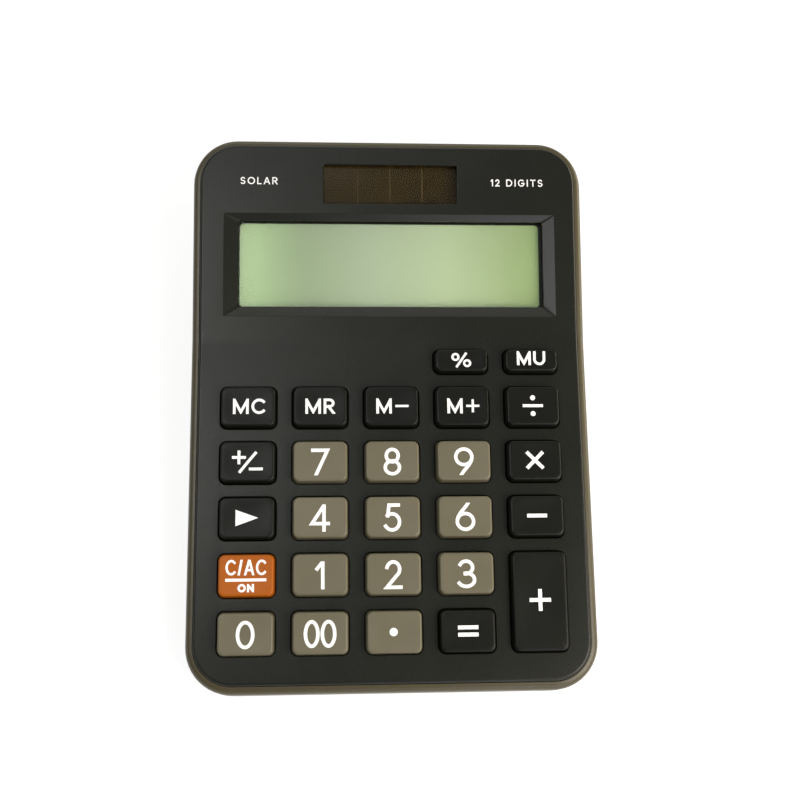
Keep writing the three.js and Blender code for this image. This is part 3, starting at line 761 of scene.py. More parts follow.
besideKeys = 1.5 * keyGrid["pitchX"]
frontScrew = dict(x=besideKeys, y=-66.6, post=2.2, core=1.1, head=1.7, headTop=3.2, split=5.6, tip=9.8)
backScrew = dict(x=42, y=63, post=3.2, core=1.3, head=2.3, headTop=8.4, split=11.5, tip=18)
caseScrews = [dict(screw, x=side * screw["x"]) for screw in (frontScrew, backScrew) for side in (-1, 1)]
boardScrews = [
    dict(x=x * keyGrid["pitchX"], v=keyGrid["frontV"] + row * keyGrid["pitchV"])
    for x, row in ((-1.5, 0.5), (0.5, 0.5), (-1.5, 3.5), (1.5, 3.5))
]
boardLevel = dict(sheetTop=-6.0, sheetBottom=-6.8, top=-7.1, bottom=-8.3, bossRadius=1.8, coreRadius=1.0)


def topCover():
    bm = bmesh.new()
    top, under = [], []
    outside = [
        ring(bm, caseLoop(case["rimInset"] + cover["edge"] - out, down, square=True))
        for out, down in quarterRound(cover["edge"], 7)
    ]
    outside.append(ring(bm, caseLoop(case["rimInset"], cover["skirt"])))
    outside.append(ring(bm, caseLoop(case["rimInset"] + case["wall"], cover["skirt"])))
    outside.append(ring(bm, caseLoop(case["rimInset"] + case["wall"], case["wall"], square=True)))
    loft(bm, outside)
    top.append(outside[0])
    under.append(outside[-1])
    for key in keys.values():
        grow = keyShape["draft"] + keyShape["clearance"]
        hole = dict(width=keyShape["width"] + 2 * grow, depth=key["depth"] + 2 * grow, x=key["x"], v=key["v"],
                    corner=keyShape["corner"] + 0.35)
        rings = [onDeck(bm, keyDeck, outlineInDeck(hole, cover["holeEdge"] - out), -down)
                 for out, down in quarterRound(cover["holeEdge"], 3)]
        rings.append(onDeck(bm, keyDeck, outlineInDeck(hole), -case["wall"]))
        loft(bm, rings)
        top.append(rings[0])
        under.append(rings[-1])
    edge, lip = cover["bezelEdge"], cover["holeEdge"]
    for window in (display, solar):
        if window is display:
            outlines = [(outlineInDeck(bezel, edge / 2), 0), (outlineInDeck(bezel, -edge / 2), -edge * 0.3),
                        (outlineInDeck(display), -display["drop"])]
        else:
            outlines = [(outlineInDeck(solar, lip - out), -down) for out, down in quarterRound(lip, 3)]
        pocket, outer, frameLow = window["pocketMargin"], window["frameMargin"], cover["frameBottom"]
        outlines.append((outlineInDeck(window), window["pocketTop"]))
        outlines += [(outlineInDeck(window, grow, cover["pocketCorner"]), w) for grow, w in (
            (pocket, window["pocketTop"]), (pocket, frameLow), (outer, frameLow), (outer, -case["wall"]))]
        rings = [onDeck(bm, displayDeck, points, w) for points, w in outlines]
        loft(bm, rings)
        top.append(rings[0])
        under.append(rings[-1])
    for screw in caseScrews:
        spot = circle(screw["x"], screw["y"], screw["post"])
        core = circle(screw["x"], screw["y"], screw["core"])
        rings = [ring(bm, [(x, y, deckZ(y) - case["wall"] / math.cos(deckTilt(y))) for x, y in spot])]
        for points, z in ((spot, screw["split"]), (core, screw["split"]), (core, screw["tip"])):
            rings.append(levelRing(bm, points, z))
        loft(bm, rings)
        bm.faces.new(rings[-1])
        under.append(rings[0])
    for screw in boardScrews:
        spot = circle(screw["x"], screw["v"], boardLevel["bossRadius"])
        core = circle(screw["x"], screw["v"], boardLevel["coreRadius"])
        low = boardLevel["top"] + case["gap"]
        rings = [onDeck(bm, keyDeck, spot, -case["wall"]), onDeck(bm, keyDeck, spot, low),
                 onDeck(bm, keyDeck, core, low), onDeck(bm, keyDeck, core, -case["wall"] - 0.6)]
        loft(bm, rings)
        bm.faces.new(rings[-1])
        under.append(rings[0])
    deckFill(bm, top, 0)
    deckFill(bm, under, case["wall"])
    return bm


makePiece("topCover", topCover(), blackAbs, slot="black_case", replaces=["upper_case"])
print("cover")

# lower case, of khaki ABS: a rounded rim round the cover, screw wells, recesses for feet and label
base = dict(
    ledge=1.0, lip=2.02, rimEdge=0.12, shoulder=1.85,
    baseEdge=3.0, bottom=1.0, floorTop=2.8, postWall=0.6,
)
feet = [dict(x=side * 42, y=y) for side in (-1, 1) for y in (-56, 50)]
foot = dict(radius=4.5, recess=0.8, height=1.0, edge=0.5)
label = dict(width=50, depth=24, corner=2.0, v=6, recess=0.5)
boardSupports = [dict(x=x, y=y) for x, y in ((-38, -48), (38, -48), (0, -30), (-38, -18), (38, -8))]


def lowerCase():
    bm = bmesh.new()
    wall, lip, ledge, rimEdge = case["wall"], base["lip"], base["ledge"], base["rimEdge"]
    rings = [ring(bm, caseLoop(wall, z=base["floorTop"] + 0.6)), ring(bm, caseLoop(wall, ledge + 2.0)),
             ring(bm, caseLoop(lip, ledge + 1.4)), ring(bm, caseLoop(lip, ledge + rimEdge))]
    rings += [ring(bm, caseLoop(lip - rimEdge * a, ledge + rimEdge * b)) for a, b in ((0.3, 0.3), (1.0, 0.0))]
    rings += [ring(bm, caseLoop(base["shoulder"] - out, ledge + down))
              for out, down in quarterRound(base["shoulder"], 8)]
    for out, down in reversed(quarterRound(base["baseEdge"], 7)):
        rings.append(ring(bm, caseLoop(base["baseEdge"] - out, z=base["bottom"] + down)))
    loft(bm, rings)
    inner = ring(bm, caseLoop(wall + 0.6, z=base["floorTop"]))
    bridge(bm, rings[0], inner)
    bottom, floor = [rings[-1]], [inner]
    for screw in caseScrews:
        rim = screw["head"] + 0.3
        well, hole = circle(screw["x"], screw["y"], rim), circle(screw["x"], screw["y"], screw["core"])
        post = circle(screw["x"], screw["y"], screw["post"] + base["postWall"])
        seat, postTop = screw["headTop"] + case["gap"], screw["split"] - case["gap"]
        stack = [levelRing(bm, points, z) for points, z in (
            (circle(screw["x"], screw["y"], rim + 0.25), base["bottom"]), (well, base["bottom"] + 0.25),
            (well, seat), (hole, seat), (hole, postTop), (post, postTop), (post, base["floorTop"]),
        )]
        loft(bm, stack)
        bottom.append(stack[0])
        floor.append(stack[-1])

    def recess(mouth, walls, depth):
        stack = [levelRing(bm, points, base["bottom"] + up)
                 for points, up in ((mouth, 0), (walls, 0.15), (walls, depth))]
        loft(bm, stack)
        bm.faces.new(stack[-1])
        bottom.append(stack[0])

    for spot in feet:
        mouth, walls = (circle(spot["x"], spot["y"], foot["radius"] + grow, 40) for grow in (0.45, 0.3))
        recess(mouth, walls, foot["recess"])
    recess(outlineInDeck(label, 0.45), outlineInDeck(label, 0.3), label["recess"])
    for spot in boardSupports:
        points = circle(spot["x"], spot["y"], 1.5)
        under = deckZ(spot["y"]) + boardLevel["bottom"] / math.cos(deck["keyTilt"]) - 2 * case["gap"]
        stack = [levelRing(bm, points, base["floorTop"]), levelRing(bm, points, under)]
        loft(bm, stack)
        bm.faces.new(stack[-1])
        floor.append(stack[0])
    fillLoops(bm, bottom)
    fillLoops(bm, floor)
    return bm


makePiece("lowerCase", lowerCase(), shadedKhakiAbs, slot="khaki_case", replaces=["lower_case"])
print("lower case")


def slab(bm, size, low, high, edge=0.15, holes=()):
    # a plate with rounded edges and round holes
    rims = [(edge - out, low + down) for out, down in quarterRound(edge, 2)]
    rims += [(inset, low + high - w) for inset, w in reversed(rims)]
    rings = [levelRing(bm, outlineInDeck(size, -inset), w) for inset, w in rims]
    loft(bm, rings)
    lows, highs = [rings[0]], [rings[-1]]
    for x, y, radius in holes:
        points = circle(x, y, radius)
        lows.append(levelRing(bm, points, low))
        highs.append(levelRing(bm, points, high))
        bridge(bm, lows[-1], highs[-1])
    for loops in (lows, highs):
        if holes:
            fillLoops(bm, loops)
        else:
            bm.faces.new(loops[0])


# windows of clear cast acrylic, polished on both faces
def polish(rough):
    # a clear sheet: the polish is a little uneven, as if wiped
    def build(tree, shader, place):
        glossBy(tree, shader, cloudOf(tree, place, 12, 3.0), 0.0, 1.0, rough)
    return build


clearAcrylic = newMaterial(
    "clearAcrylic", {"Base Color": "#f7faf5", "IOR": 1.25, "Transmission Weight": 1.0}, polish((0.08, 0.16))
)
displayLevel = dict(lensTop=-2.2, lens=1.0, glassTop=-3.5, holderTop=-5.6)
solarLevel = dict(lensTop=-1.6, lens=0.8, cellTop=-2.7, cell=1.1)


def windowPlate(name, size, margin, top, thickness, replaced):
    bm = bmesh.new()
    plate = dict(size, width=size["width"] + margin, depth=size["depth"] + margin, corner=0.5)
    slab(bm, plate, top - thickness, top, edge=0.1)
    piece = makePiece(name, bm, clearAcrylic, slot="clear_window", replaces=[replaced], matrix=displayDeck)
    piece.visible_shadow = False  # lamp light goes straight through to what lies under it


windowPlate("displayWindow", display, 2.8, displayLevel["lensTop"], displayLevel["lens"], "display_window")
windowPlate("solarWindow", solar, 3.4, solarLevel["lensTop"], solarLevel["lens"], "solar_window")

# display: a polariser, two glasses and a reflector; greenish, with painted light and shade across it,
# yellower to the left and darker olive to the right
lcdSize = dict(width=87, depth=32, v=19.5, corner=0.4)


def lcdTintWithPaintedLight(tree, shader, place):
    spot = addNode(tree, "ShaderNodeSeparateXYZ", {"Vector": place})
    half = display["width"] / 2 * mm
    across = addNode(
        tree, "ShaderNodeMapRange", {"Value": spot.outputs["X"], "From Min": -half, "From Max": half}
    )
    drift = maths(tree, "MULTIPLY_ADD", cloudOf(tree, place, 30, 1.0), 0.06, -0.03)
    # the ramp across the display is painted light and shade: a yellow-green band at the left edge, lighter
    # grey-green in the middle, darker olive at the right edge; the cloud is its own uneven tone
    tintBy(tree, shader, maths(tree, "ADD", across.outputs["Result"], drift), [
        (0.0, "#6a824f"), (0.07, "#788f65"), (0.22, "#718067"),
        (0.45, "#83907c"), (0.7, "#8c9a7e"), (1.0, "#718359"),
    ])


polariser = newMaterial(
    "polariserFilm", {"Roughness": 0.3, "IOR": 1.49, "Coat Weight": 0.4, "Coat Roughness": 0.1}, lcdTintWithPaintedLight
)
clearGlass = newMaterial("sodaGlassEdge", {"Base Color": "#9fb59a", "IOR": 1.52}, polish((0.05, 0.11)))


def plates(name, size, levels, material, slotName, replaced=()):
    bm = bmesh.new()
    for low, high in levels:
        slab(bm, size, low, high, edge=0.06)
    makePiece(name, bm, material, slot=slotName, replaces=replaced, matrix=displayDeck)


glassTop = displayLevel["glassTop"]
lcdLayers = dict(front=(-0.2, 0.0), upper=(-0.98, -0.22), lower=(-1.56, -1.0), rear=(-1.8, -1.58))
lcdLevels = {part: (glassTop + low, glassTop + high) for part, (low, high) in lcdLayers.items()}
polariserSize = dict(lcdSize, width=86, depth=28, v=20.4, corner=1.0)
plates("frontPolariser", polariserSize, [lcdLevels["front"]], polariser, "liquid_crystal_glass")
glassPair = [lcdLevels["upper"], lcdLevels["lower"]]
plates("lcdGlass", lcdSize, glassPair, clearGlass, "liquid_crystal_glass", ["lcd_panel"])
mask = bmesh.new()
maskHole = dict(width=82.2, depth=23.1, x=0.35, v=20.65, corner=1.0)
maskRings = [
    onDeck(mask, displayDeck, outlineInDeck(size), glassTop + w)
    for size, w in ((polariserSize, 0.02), (polariserSize, 0.08), (maskHole, 0.08), (maskHole, 0.02))
]
loft(mask, maskRings + maskRings[:1])
makePiece("displayMask", mask, blackKeyAbs, slot="liquid_crystal_glass")
plates("rearReflector", polariserSize, [lcdLevels["rear"]], polariser, "liquid_crystal_glass")

# amorphous solar cell: four brown cells behind glass, parted by hairlines
solarPlate = dict(solar, width=solar["width"] + 3, depth=solar["depth"] + 3, corner=0.3)


def cellTint(tree, shader, place):
    tintBy(tree, shader, cloudOf(tree, place, 9, 2.0), [(0.0, "#1e1504"), (1.0, "#261c05")])


amorphousSilicon = newMaterial(
    "amorphousSilicon", {"Roughness": 0.4, "IOR": 1.5, "Specular IOR Level": 0.05}, cellTint
)
cellTop = solarLevel["cellTop"]
cellBottom = cellTop - solarLevel["cell"]
plates("solarCell", solarPlate, [(cellBottom, cellTop)], amorphousSilicon, "solar_cell_glass", ["solar_cell"])


def copiesTree():
    # copies of one piece on the points of the mesh
    tree, given = newTree("copies", {
        "Piece": "NodeSocketObject", "Material": "NodeSocketMaterial",
    })
    piece = addNode(tree, "GeometryNodeObjectInfo", {"Object": given["Piece"], "As Instance": True})
    placed = addNode(
        tree, "GeometryNodeInstanceOnPoints",
        {"Points": given["Geometry"], "Instance": piece.outputs["Geometry"]},
    )
    closeTree(tree, placed.outputs[0], given["Material"])
    return tree


copies = copiesTree()


def copiesOf(name, bm, spots, material, matrix=None, **ends):
    # bm is one piece about the origin; spots are where its copies go, in the deck's frame or the object's
    holder = bpy.data.objects.new(name + "Proto", meshInMetres(name + "Proto", bm))
    mesh = runTree(copies, pointMesh(spots), {"Piece": holder, "Material": material})
    bpy.data.objects.remove(holder)
    if matrix is not None:
        mesh.transform(placeInMetres(matrix))
    finishPiece(name, mesh, **ends)


def addBox(bm, centre, size):
    bmesh.ops.create_cube(bm, size=1, matrix=Matrix.LocRotScale(centre, None, size))


silverPaste = moulded("silverPaste", ("#3f311a", "#493a22"), 0.2, 0.001, (0.6, 0.7), 0.1)
cellPitch = (solar["width"] - 1.2) / 4
thin = 0.03
hairline = bmesh.new()
addBox(hairline, (0, 0, thin / 2), (0.24, solar["depth"] + 1.4, thin))
gaps = [(solar["x"] + i * cellPitch, solar["v"], cellTop) for i in (-1, 0, 1)]
copiesOf("cellHairlines", hairline, gaps, silverPaste, displayDeck, slot="solar_cell_glass")
print("windows and display")

# zinc-plated steel screws: a pan head with a cross recess, and a threaded shank
zincSteel = moulded("zincSteel", ("#999da0", "#abaeb0"), 0.4, 0.002, (0.26, 0.38), metallic=1.0)


def screwSolid(head, headHeight, shank, length, thread=0.9):
    # head down, shank up, the head's underside at 0
    bm = bmesh.new()
    reach, half = head * 0.56, head * 0.13
    cross = [turned(x, y, quarter * math.pi / 2)
             for quarter in range(4) for x, y in ((half, -half), (reach, -half), (reach, half))]
    slot = [levelRing(bm, [(x * share, y * share) for x, y in cross], z)
            for share, z in ((1.0, -headHeight), (0.6, -headHeight * 0.35))]
    bridge(bm, slot[0], slot[1])
    bm.faces.new(slot[1])
    rings = [levelRing(bm, circle(0, 0, head * share), -headHeight * high)
             for share, high in ((0.82, 1.0), (0.95, 0.8), (1.0, 0.5), (1.0, 0.0))]
    turns = int(length / thread)
    core = shank * 0.72
    for turn in range(turns):
        low = turn * thread
        for radius, z in ((core, 0.1), (shank, 0.45), (core, 0.8)):
            shrink = 1 if turn < turns - 2 else 0.8
            rings.append(levelRing(bm, circle(0, 0, radius * shrink), low + z * thread))
    rings.append(levelRing(bm, circle(0, 0, core * 0.3), length))
    loft(bm, rings)
    bm.faces.new(rings[-1])
    fillLoops(bm, [rings[0], slot[0]])
    return bm


for name, first, size in (("frontCaseScrews", 0, frontScrew), ("backCaseScrews", 2, backScrew)):
    solid = screwSolid(size["head"], 1.5, size["core"] - 0.05, size["tip"] - size["headTop"] - 0.6)
    spots = [(screw["x"], screw["y"], screw["headTop"]) for screw in caseScrews[first:first + 2]]
    replaced = [f"case_screw_{first + i}" for i in (1, 2)]
    copiesOf(name, solid, spots, zincSteel, slot="zinc_screw", replaces=replaced)
solid = screwSolid(1.9, 1.1, boardLevel["coreRadius"] - 0.05, 4.6)
spots = [(screw["x"], screw["v"], boardLevel["bottom"] - 0.02) for screw in boardScrews]
replaced = [f"board_screw_{i}" for i in (1, 2, 3, 4)]
copiesOf("boardScrews", solid, spots, zincSteel, keyDeck, slot="zinc_screw", replaces=replaced)

# rubber feet and the plain label
footSolid = bmesh.new()
footTop = foot["height"] + foot["recess"] - case["gap"]
lathe(footSolid, [(0, 0.12), (foot["radius"] - 1.2, 0.12), (foot["radius"] - 0.9, 0)]
      + roundedCorner(foot["radius"] - foot["edge"], foot["edge"], foot["edge"], -90, 0)
      + [(foot["radius"], footTop), (0, footTop)], 40)
footSpots = [(spot["x"], spot["y"], 0) for spot in feet]
copiesOf("rubberFeet", footSolid, footSpots, footRubber, slot="rubber_foot",
         replaces=[f"rubber_foot_{i}" for i in (1, 2, 3, 4)])
labelFilm = moulded("polyesterLabel", ("#bdb8a9", "#c4c0b2"), 0.6, 0.002, (0.35, 0.5))
bm = bmesh.new()
slab(bm, label, base["bottom"], base["bottom"] + label["recess"] - case["gap"], edge=0.06)
makePiece("blankLabel", bm, labelFilm, slot="label_film", replaces=["rating_label"])
print("underside")

# rubber key sheet and its domes, which collapse under the keys
sheet = dict(width=92, depth=80.9, v=-23.55, corner=2.0)
dome = dict(foot=3.5, top=2.1, wall=0.55, topWall=0.9)
bosses = [(screw["x"], screw["v"], boardLevel["bossRadius"] + case["gap"]) for screw in boardScrews]
domeHoles = [(key["x"], key["v"], dome["foot"] - 0.05) for key in keys.values()]
bm = bmesh.new()
slab(bm, sheet, boardLevel["sheetBottom"], boardLevel["sheetTop"], edge=0.2, holes=bosses + domeHoles)
sheetLook = dict(slot="silicone_rubber", replaces=["rubber_key_sheet"], matrix=keyDeck)
makePiece("rubberSheet", bm, domeRubber, **sheetLook)

domeTop = flangeBottom - keyShape["stemDrop"] - case["gap"]
bottom, top = boardLevel["sheetBottom"], boardLevel["sheetTop"]
outer, crown, roof = dome["foot"] - 0.05, dome["top"], domeTop - dome["topWall"]
inner = dome["foot"] - dome["wall"] - 0.2
profile = [
    (outer, bottom), (outer, top), (outer - 0.25, top + 0.15),
    (crown + 0.25, domeTop - 0.35), (crown, domeTop - 0.05), (crown - 0.2, domeTop),
    (0.9, domeTop), (0.75, domeTop - 0.12), (0.2, domeTop - 0.12),
    (0.2, roof), (crown - dome["wall"], roof), (inner, top - 0.1), (inner, bottom),
]
for name, key in keys.items():
    bm = bmesh.new()
    lathe(bm, profile, 28, Matrix.Translation((key["x"], key["v"], 0)), closed=True)
    piece = makePiece("dome_" + name[4:], bm, domeRubber, **sheetLook)
    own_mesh(piece)
print("domes")


# phenolic circuit board: brown paper laminate, carbon contact pads above, solder below
def phenolicTint(tree, shader, place):
    tintBy(tree, shader, cloudOf(tree, place, 2.5, 4.0), [(0.0, "#7d5b2e"), (1.0, "#9a7442")])


phenolic = newMaterial("phenolicPaper", {"Roughness": 0.55, "IOR": 1.5}, phenolicTint)
carbonInk = moulded("carbonInk", ("#1d1e1f", "#232426"), 0.15, 0.002, (0.54, 0.68))
solder = moulded("solderTin", ("#c0c3c5", "#ced0d1"), 0.5, 0.004, (0.2, 0.32), metallic=1.0)
board = dict(width=92, depth=86, v=-21, corner=2.0)
bm = bmesh.new()
slab(bm, board, boardLevel["bottom"], boardLevel["top"], edge=0.08,
     holes=[(screw["x"], screw["v"], boardLevel["coreRadius"]) for screw in boardScrews])
makePiece("circuitBoard", bm, phenolic, slot="phenolic_board", replaces=["circuit_board"], matrix=keyDeck)

pad = dict(teeth=5, tooth=0.32, pitch=0.72, length=3.4, thickness=0.03)
comb = bmesh.new()
for tooth in range(pad["teeth"]):
    x = (tooth - (pad["teeth"] - 1) / 2) * pad["pitch"]
    shift = 0.25 if tooth % 2 else -0.25
    addBox(comb, (x, shift, pad["thickness"] / 2), (pad["tooth"], pad["length"], pad["thickness"]))
padSpots = [(key["x"], key["v"], boardLevel["top"]) for key in keys.values()]
copiesOf("contactPads", comb, padSpots, carbonInk, keyDeck, slot="phenolic_board")

joint = bmesh.new()
lathe(joint, [(0, 0.05), (0.75, 0.05), (0.55, -0.15), (0.3, -0.5), (0, -0.62)], 16)
jointSpots = [(x, 20.2, boardLevel["bottom"]) for x in range(-28, 29, 4)]
jointSpots += [(x, 12.0, boardLevel["bottom"]) for x in (15.6, 28.4)]
jointSpots += [(-7, 18.4, boardLevel["bottom"]), (7, 18.4, boardLevel["bottom"])]
copiesOf("solderJoints", joint, jointSpots, solder, keyDeck, slot="zinc_screw")

# the processor under a drop of black epoxy
epoxy = moulded("chipEpoxy", ("#0f0f10", "#141416"), 2.5, 0.01, (0.18, 0.3))
boardUnder = boardLevel["bottom"] - case["gap"]
bm = bmesh.new()
profile = [(0, 0), (6.3, 0), (6.5, -0.2), (6.1, -0.6), (5.2, -1.1)]
profile += [(4.0, -1.45), (2.4, -1.68), (1.0, -1.74), (0, -1.75)]
lathe(bm, profile, 40, Matrix.Translation((6, -20, boardUnder)))
makePiece("processorChip", bm, epoxy, slot="chip_epoxy", replaces=["processor_chip"], matrix=keyDeck)

# electrolytic capacitor, lying down: a blue sleeve with rolled ends
capacitor = dict(x=22, v=12, radius=2.4, length=7.0)
sleeve = moulded("heatShrinkSleeve", ("#1e2747", "#232d52"), 0.6, 0.002, (0.25, 0.35))
half = capacitor["length"] / 2
lying = Matrix.Translation((capacitor["x"], capacitor["v"], boardUnder - capacitor["radius"]))
lying = lying @ Matrix.Rotation(math.pi / 2, 4, "Y")
bm = bmesh.new()
profile = [(0, -half + 0.1), (1.7, -half + 0.1), (1.9, -half)] + roundedCorner(2.1, -half + 0.3, 0.3, -90, 0)
profile += [(2.4, half - 1.3), (2.2, half - 1.1), (2.2, half - 0.9), (2.4, half - 0.7)]
profile += roundedCorner(2.1, half - 0.3, 0.3, 0, 90) + [(1.9, half), (1.7, half - 0.15), (0, half - 0.15)]
lathe(bm, profile, 32, lying)
makePiece(
    "filterCapacitor", bm, sleeve, slot="capacitor_sleeve", replaces=["filter_capacitor"], matrix=keyDeck
)

# button cell in its holder, between two sprung bronze contacts
battery = dict(x=-24, v=6, radius=5.8, height=3.05, strip=0.3, wall=2.0)
minusTop = boardUnder
batteryTop = minusTop - battery["strip"] - case["gap"]
batteryBottom = batteryTop - battery["height"]
plusTop = batteryBottom - case["gap"]
whitePlastic = moulded("whitePolystyrene", ("#cfcfc8", "#d6d6d0"), 0.8, 0.004, (0.4, 0.5))
nickelSteel = moulded("nickelSteel", ("#c1c1bc", "#cdcdc9"), 0.25, 0.001, (0.18, 0.28), metallic=1.0)
springBronze = moulded("springBronze", ("#c0aa7d", "#ccb78b"), 0.3, 0.001, (0.22, 0.34), metallic=1.0)
holderHalf = battery["radius"] + battery["wall"]
bm = bmesh.new()
holder = dict(width=2 * holderHalf, depth=2 * holderHalf, x=battery["x"], v=battery["v"], corner=2.0)
slab(bm, holder, batteryBottom, batteryTop + 0.1, edge=0.25,
     holes=[(battery["x"], battery["v"], battery["radius"] + case["gap"])])
makePiece(
    "batteryHolder", bm, whitePlastic, slot="white_plastic", replaces=["battery_holder"], matrix=keyDeck
)
bm = bmesh.new()
r = battery["radius"]
profile = [(0, batteryBottom + 0.05), (r - 0.9, batteryBottom + 0.05), (r - 0.8, batteryBottom)]
profile += roundedCorner(r - 0.3, batteryBottom + 0.3, 0.3, -90, 0)
profile += roundedCorner(r - 0.25, batteryTop - 0.75, 0.25, 0, 90)
profile += [(r - 0.5, batteryTop - 0.5), (r - 0.5, batteryTop - 0.35), (r - 0.7, batteryTop - 0.1)]
profile += [(r - 1.0, batteryTop), (0, batteryTop)]
lathe(bm, profile, 48, Matrix.Translation((battery["x"], battery["v"], 0)))
makePiece("buttonCell", bm, nickelSteel, slot="cell_steel", replaces=["button_cell"], matrix=keyDeck)


def strip(bm, x, width, route, thickness):
    # a bent strip along a route of (v, w) points, its thickness upwards
    count = len(route)
    outline = list(route)
    for i in reversed(range(count)):
        (av, aw), (bv, bw) = route[max(i - 1, 0)], route[min(i + 1, count - 1)]
        length = math.dist((av, aw), (bv, bw))
        across = thickness / length
        outline.append((route[i][0] - (bw - aw) * across, route[i][1] + (bv - av) * across))
    sides = [ring(bm, [(x + side * width / 2, v, w) for v, w in outline]) for side in (-1, 1)]
    bridge(bm, sides[0], sides[1])
    for side in sides:
        bmesh.ops.triangulate(bm, faces=[bm.faces.new(side)])


reach = holderHalf + 2.5
thin = battery["strip"]
high, low = minusTop - thin, plusTop - thin
minusRoute = [(-2.5, high), (-1.2, high - 0.12), (0.4, high - 0.12), (2.0, high), (reach, high)]
plusRoute = [
    (3.0, low), (1.2, low + 0.1), (-0.5, low + 0.1), (-2.0, low), (-reach + 0.5, low), (-reach, low + 0.5),
    (-reach, high - 0.5), (-reach + 0.5, high), (-reach + 2.0, high),
]
bm = bmesh.new()
strip(bm, battery["x"], 4, [(battery["v"] + v, w) for v, w in minusRoute], thin)
contactLook = dict(slot="spring_contact", matrix=keyDeck)
makePiece("minusContact", bm, springBronze, replaces=["battery_contact_minus"], **contactLook)
bm = bmesh.new()
strip(bm, battery["x"], 4, [(battery["v"] + v, w) for v, w in plusRoute], thin)
makePiece("plusContact", bm, springBronze, replaces=["battery_contact_plus"], **contactLook)
print("board and battery")

# display holder with two clips, the printed ribbon, and the solar cell's two leads
holderTop = displayLevel["holderTop"]
bm = bmesh.new()
slab(bm, dict(width=91, depth=27.3, v=23.15, corner=1.0), holderTop - 1.2, holderTop, edge=0.25)
clip = dict(width=1.4, depth=13, corner=0.4, v=20.5)
for side in (-1, 1):
    slab(bm, dict(clip, x=side * 44.8), holderTop - 0.02, holderTop + 2.1, edge=0.15)
makePiece(
    "displayHolder", bm, whitePlastic, slot="white_plastic", replaces=["lcd_holder"], matrix=displayDeck
)


def fromDeck(matrix, v, w):
    place = matrix @ Vector((0, v, w))
    return place.y, place.z


ribbon = dict(width=62, thickness=0.22, traces=30, pitch=2.0)
rise = ((18.0, case["gap"]), (20.6, case["gap"]), (21.3, 0.7), (21.6, 1.3))
ribbonRoute = [fromDeck(keyDeck, v, boardLevel["top"] + w) for v, w in rise]
ribbonRoute += [fromDeck(displayDeck, v, holderTop - 0.25) for v in (3.2, 8.5)]
polyester = moulded("polyesterRibbon", ("#b28436", "#be9041"), 0.9, 0.001, (0.34, 0.46))
bm = bmesh.new()
strip(bm, 0, ribbon["width"], ribbonRoute, ribbon["thickness"])
makePiece("displayRibbon", bm, polyester, slot="heat_seal_ribbon", replaces=["display_ribbon"])
traceLine = bmesh.new()
strip(traceLine, 0, 0.9, [(y, z + ribbon["thickness"]) for y, z in ribbonRoute], 0.03)
traceSpots = [((i - (ribbon["traces"] - 1) / 2) * ribbon["pitch"], 0, 0) for i in range(ribbon["traces"])]
copiesOf("ribbonTraces", traceLine, traceSpots, carbonInk, slot="heat_seal_ribbon")


def leadTube(bm, x, route, radius, sides=12, steps=8):
    # a round wire through the points of a route, smoothed
    points = []
    for i in range(len(route) - 1):
        a, b, c, d = (route[max(min(k, len(route) - 1), 0)] for k in (i - 1, i, i + 1, i + 2))
        for step in range(steps):
            t = step / steps
            points.append(tuple(
                0.5 * (2 * b[k] + (c[k] - a[k]) * t + (2 * a[k] - 5 * b[k] + 4 * c[k] - d[k]) * t * t
                       + (3 * b[k] - a[k] - 3 * c[k] + d[k]) * t ** 3) for k in (0, 1)))
    points.append(route[-1])
    rings, around = [], circle(0, 0, radius, sides)
    for i, (y, z) in enumerate(points):
        (ay, az), (by, bz) = points[max(i - 1, 0)], points[min(i + 1, len(points) - 1)]
        length = math.dist((ay, az), (by, bz))
        up = ((az - bz) / length, (by - ay) / length)
        rings.append(ring(bm, [(x + u, y + up[0] * v, z + up[1] * v) for u, v in around]))
    loft(bm, rings)
    bm.faces.new(rings[0])
    bm.faces.new(rings[-1])


leadRoute = [
    fromDeck(displayDeck, 40, cellBottom - case["gap"] - 0.6), fromDeck(displayDeck, 38.6, holderTop - 2.4),
    fromDeck(displayDeck, 30, holderTop - 3.2), fromDeck(displayDeck, 16, holderTop - 3.4),
    fromDeck(keyDeck, 26, boardLevel["bottom"] - 1.6), fromDeck(keyDeck, 19, boardUnder - 0.7),
]
wires = {"red": (-7, moulded("redVinyl", ("#a51d19", "#b3221d"), 0.5, 0.003, (0.35, 0.45))),
         "black": (7, moulded("blackVinyl", ("#151515", "#1a1a1a"), 0.5, 0.003, (0.35, 0.45)))}
for colour, (x, material) in wires.items():
    bm = bmesh.new()
    leadTube(bm, x, leadRoute, 0.5)
    makePiece(colour + "Lead", bm, material, slot=colour + "_wire", replaces=["solar_lead_" + colour])
print("display holder, ribbon and leads")

# plain generic words on the cover, in the ink of the keys
marks = dict(v=43.3, height=2.0, stroke=0.3, space=0.3)
for name, text, x in (("markLeft", "SOLAR", -35.4), ("markRight", "12 DIGITS", 35.2)):
    parts = wordParts(text, (x, marks["v"]), marks["height"], marks["stroke"], space=marks["space"])
    ink = inkSolid(parts, (0, 0), -0.02, 0.025)
    makePiece(name, ink, whiteInk, slot="black_case", matrix=displayDeck, sharp=60)
print("marks")

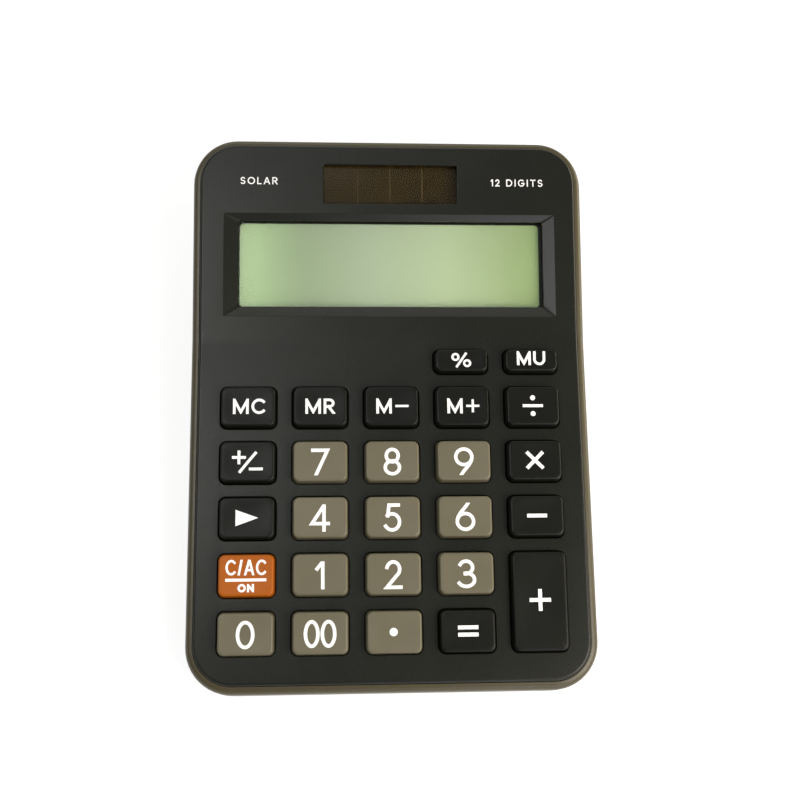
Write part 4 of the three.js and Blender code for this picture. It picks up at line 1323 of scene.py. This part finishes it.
# plain pale floor and soft studio light
floorPaint = newMaterial("paleFloor", {
    "Base Color": "#b4b4b4", "Roughness": 0.9, "Specular IOR Level": 0.1,
    "Emission Color": "#ffffff", "Emission Strength": 0.72,
})
bm = bmesh.new()
bmesh.ops.create_grid(bm, x_segments=1, y_segments=1, size=4)
floorMesh = bpy.data.meshes.new("floor")
bm.to_mesh(floorMesh)
bm.free()
floorMesh.materials.append(floorPaint)
floor = bpy.data.objects.new("floor", floorMesh)
bpy.context.scene.collection.objects.link(floor)
floor.location.z = -0.0001  # just under the feet


def softLight(name, place, aim, size, watts, colour):
    light = bpy.data.lights.new(name, "AREA")
    light.shape, light.size, light.size_y = "RECTANGLE", size[0], size[1]
    light.energy = watts
    light.color = linear(colour)[:3]
    lamp = bpy.data.objects.new(name, light)
    lamp.location = place
    lamp.rotation_euler = (Vector(aim) - Vector(place)).to_track_quat("-Z", "Y").to_euler()
    bpy.context.scene.collection.objects.link(lamp)


softLight("overheadSoftbox", (-0.27, 0.04, 0.8), (0, 0, 0), (0.2, 0.35), 1.2, "#fdfdfa")
softLight("displayGlow", (-0.06, 0.25, 0.8), (0, 0.04, 0.02), (0.34, 0.18), 0.24, "#f6f8ff")
softLight("leftSoftbox", (-0.56, 0.08, 0.8), (0.04, 0.03, 0.02), (0.24, 0.24), 0.9, "#fdfdff")
softLight("rightSoftbox", (0.32, -0.2, 0.32), (0.02, 0, 0.02), (0.3, 0.34), 2.45, "#fff6ea")
softLight("rightSkim", (0.42, 0.14, 0.07), (0.06, 0.03, 0.01), (0.3, 0.08), 0.8, "#fff0d2")
softLight("backFill", (-0.05, 0.88, 0.55), (0, 0, 0), (0.9, 0.4), 2.7, "#fbfdf4")
softLight("frontFill", (0.3, -0.93, 0.36), (0, 0, 0), (0.4, 0.25), 1.9, "#ece8f4")
world = bpy.data.worlds.new("studio")
world.use_nodes = True
world.node_tree.nodes["Background"].inputs["Color"].default_value = linear("#ffffff")
world.node_tree.nodes["Background"].inputs["Strength"].default_value = 0.2
bpy.context.scene.world = world

lens = bpy.data.cameras.new("camera")
lens.lens, lens.sensor_width = 50.76, 36
camera = bpy.data.objects.new("camera", lens)
camera.location = (-0.015736, -0.082743, 0.307)
camera.rotation_euler = (0.285985, -0.057240, -0.018930)
bpy.context.scene.collection.objects.link(camera)
bpy.context.scene.camera = camera
bpy.context.scene.view_settings.view_transform = "Standard"
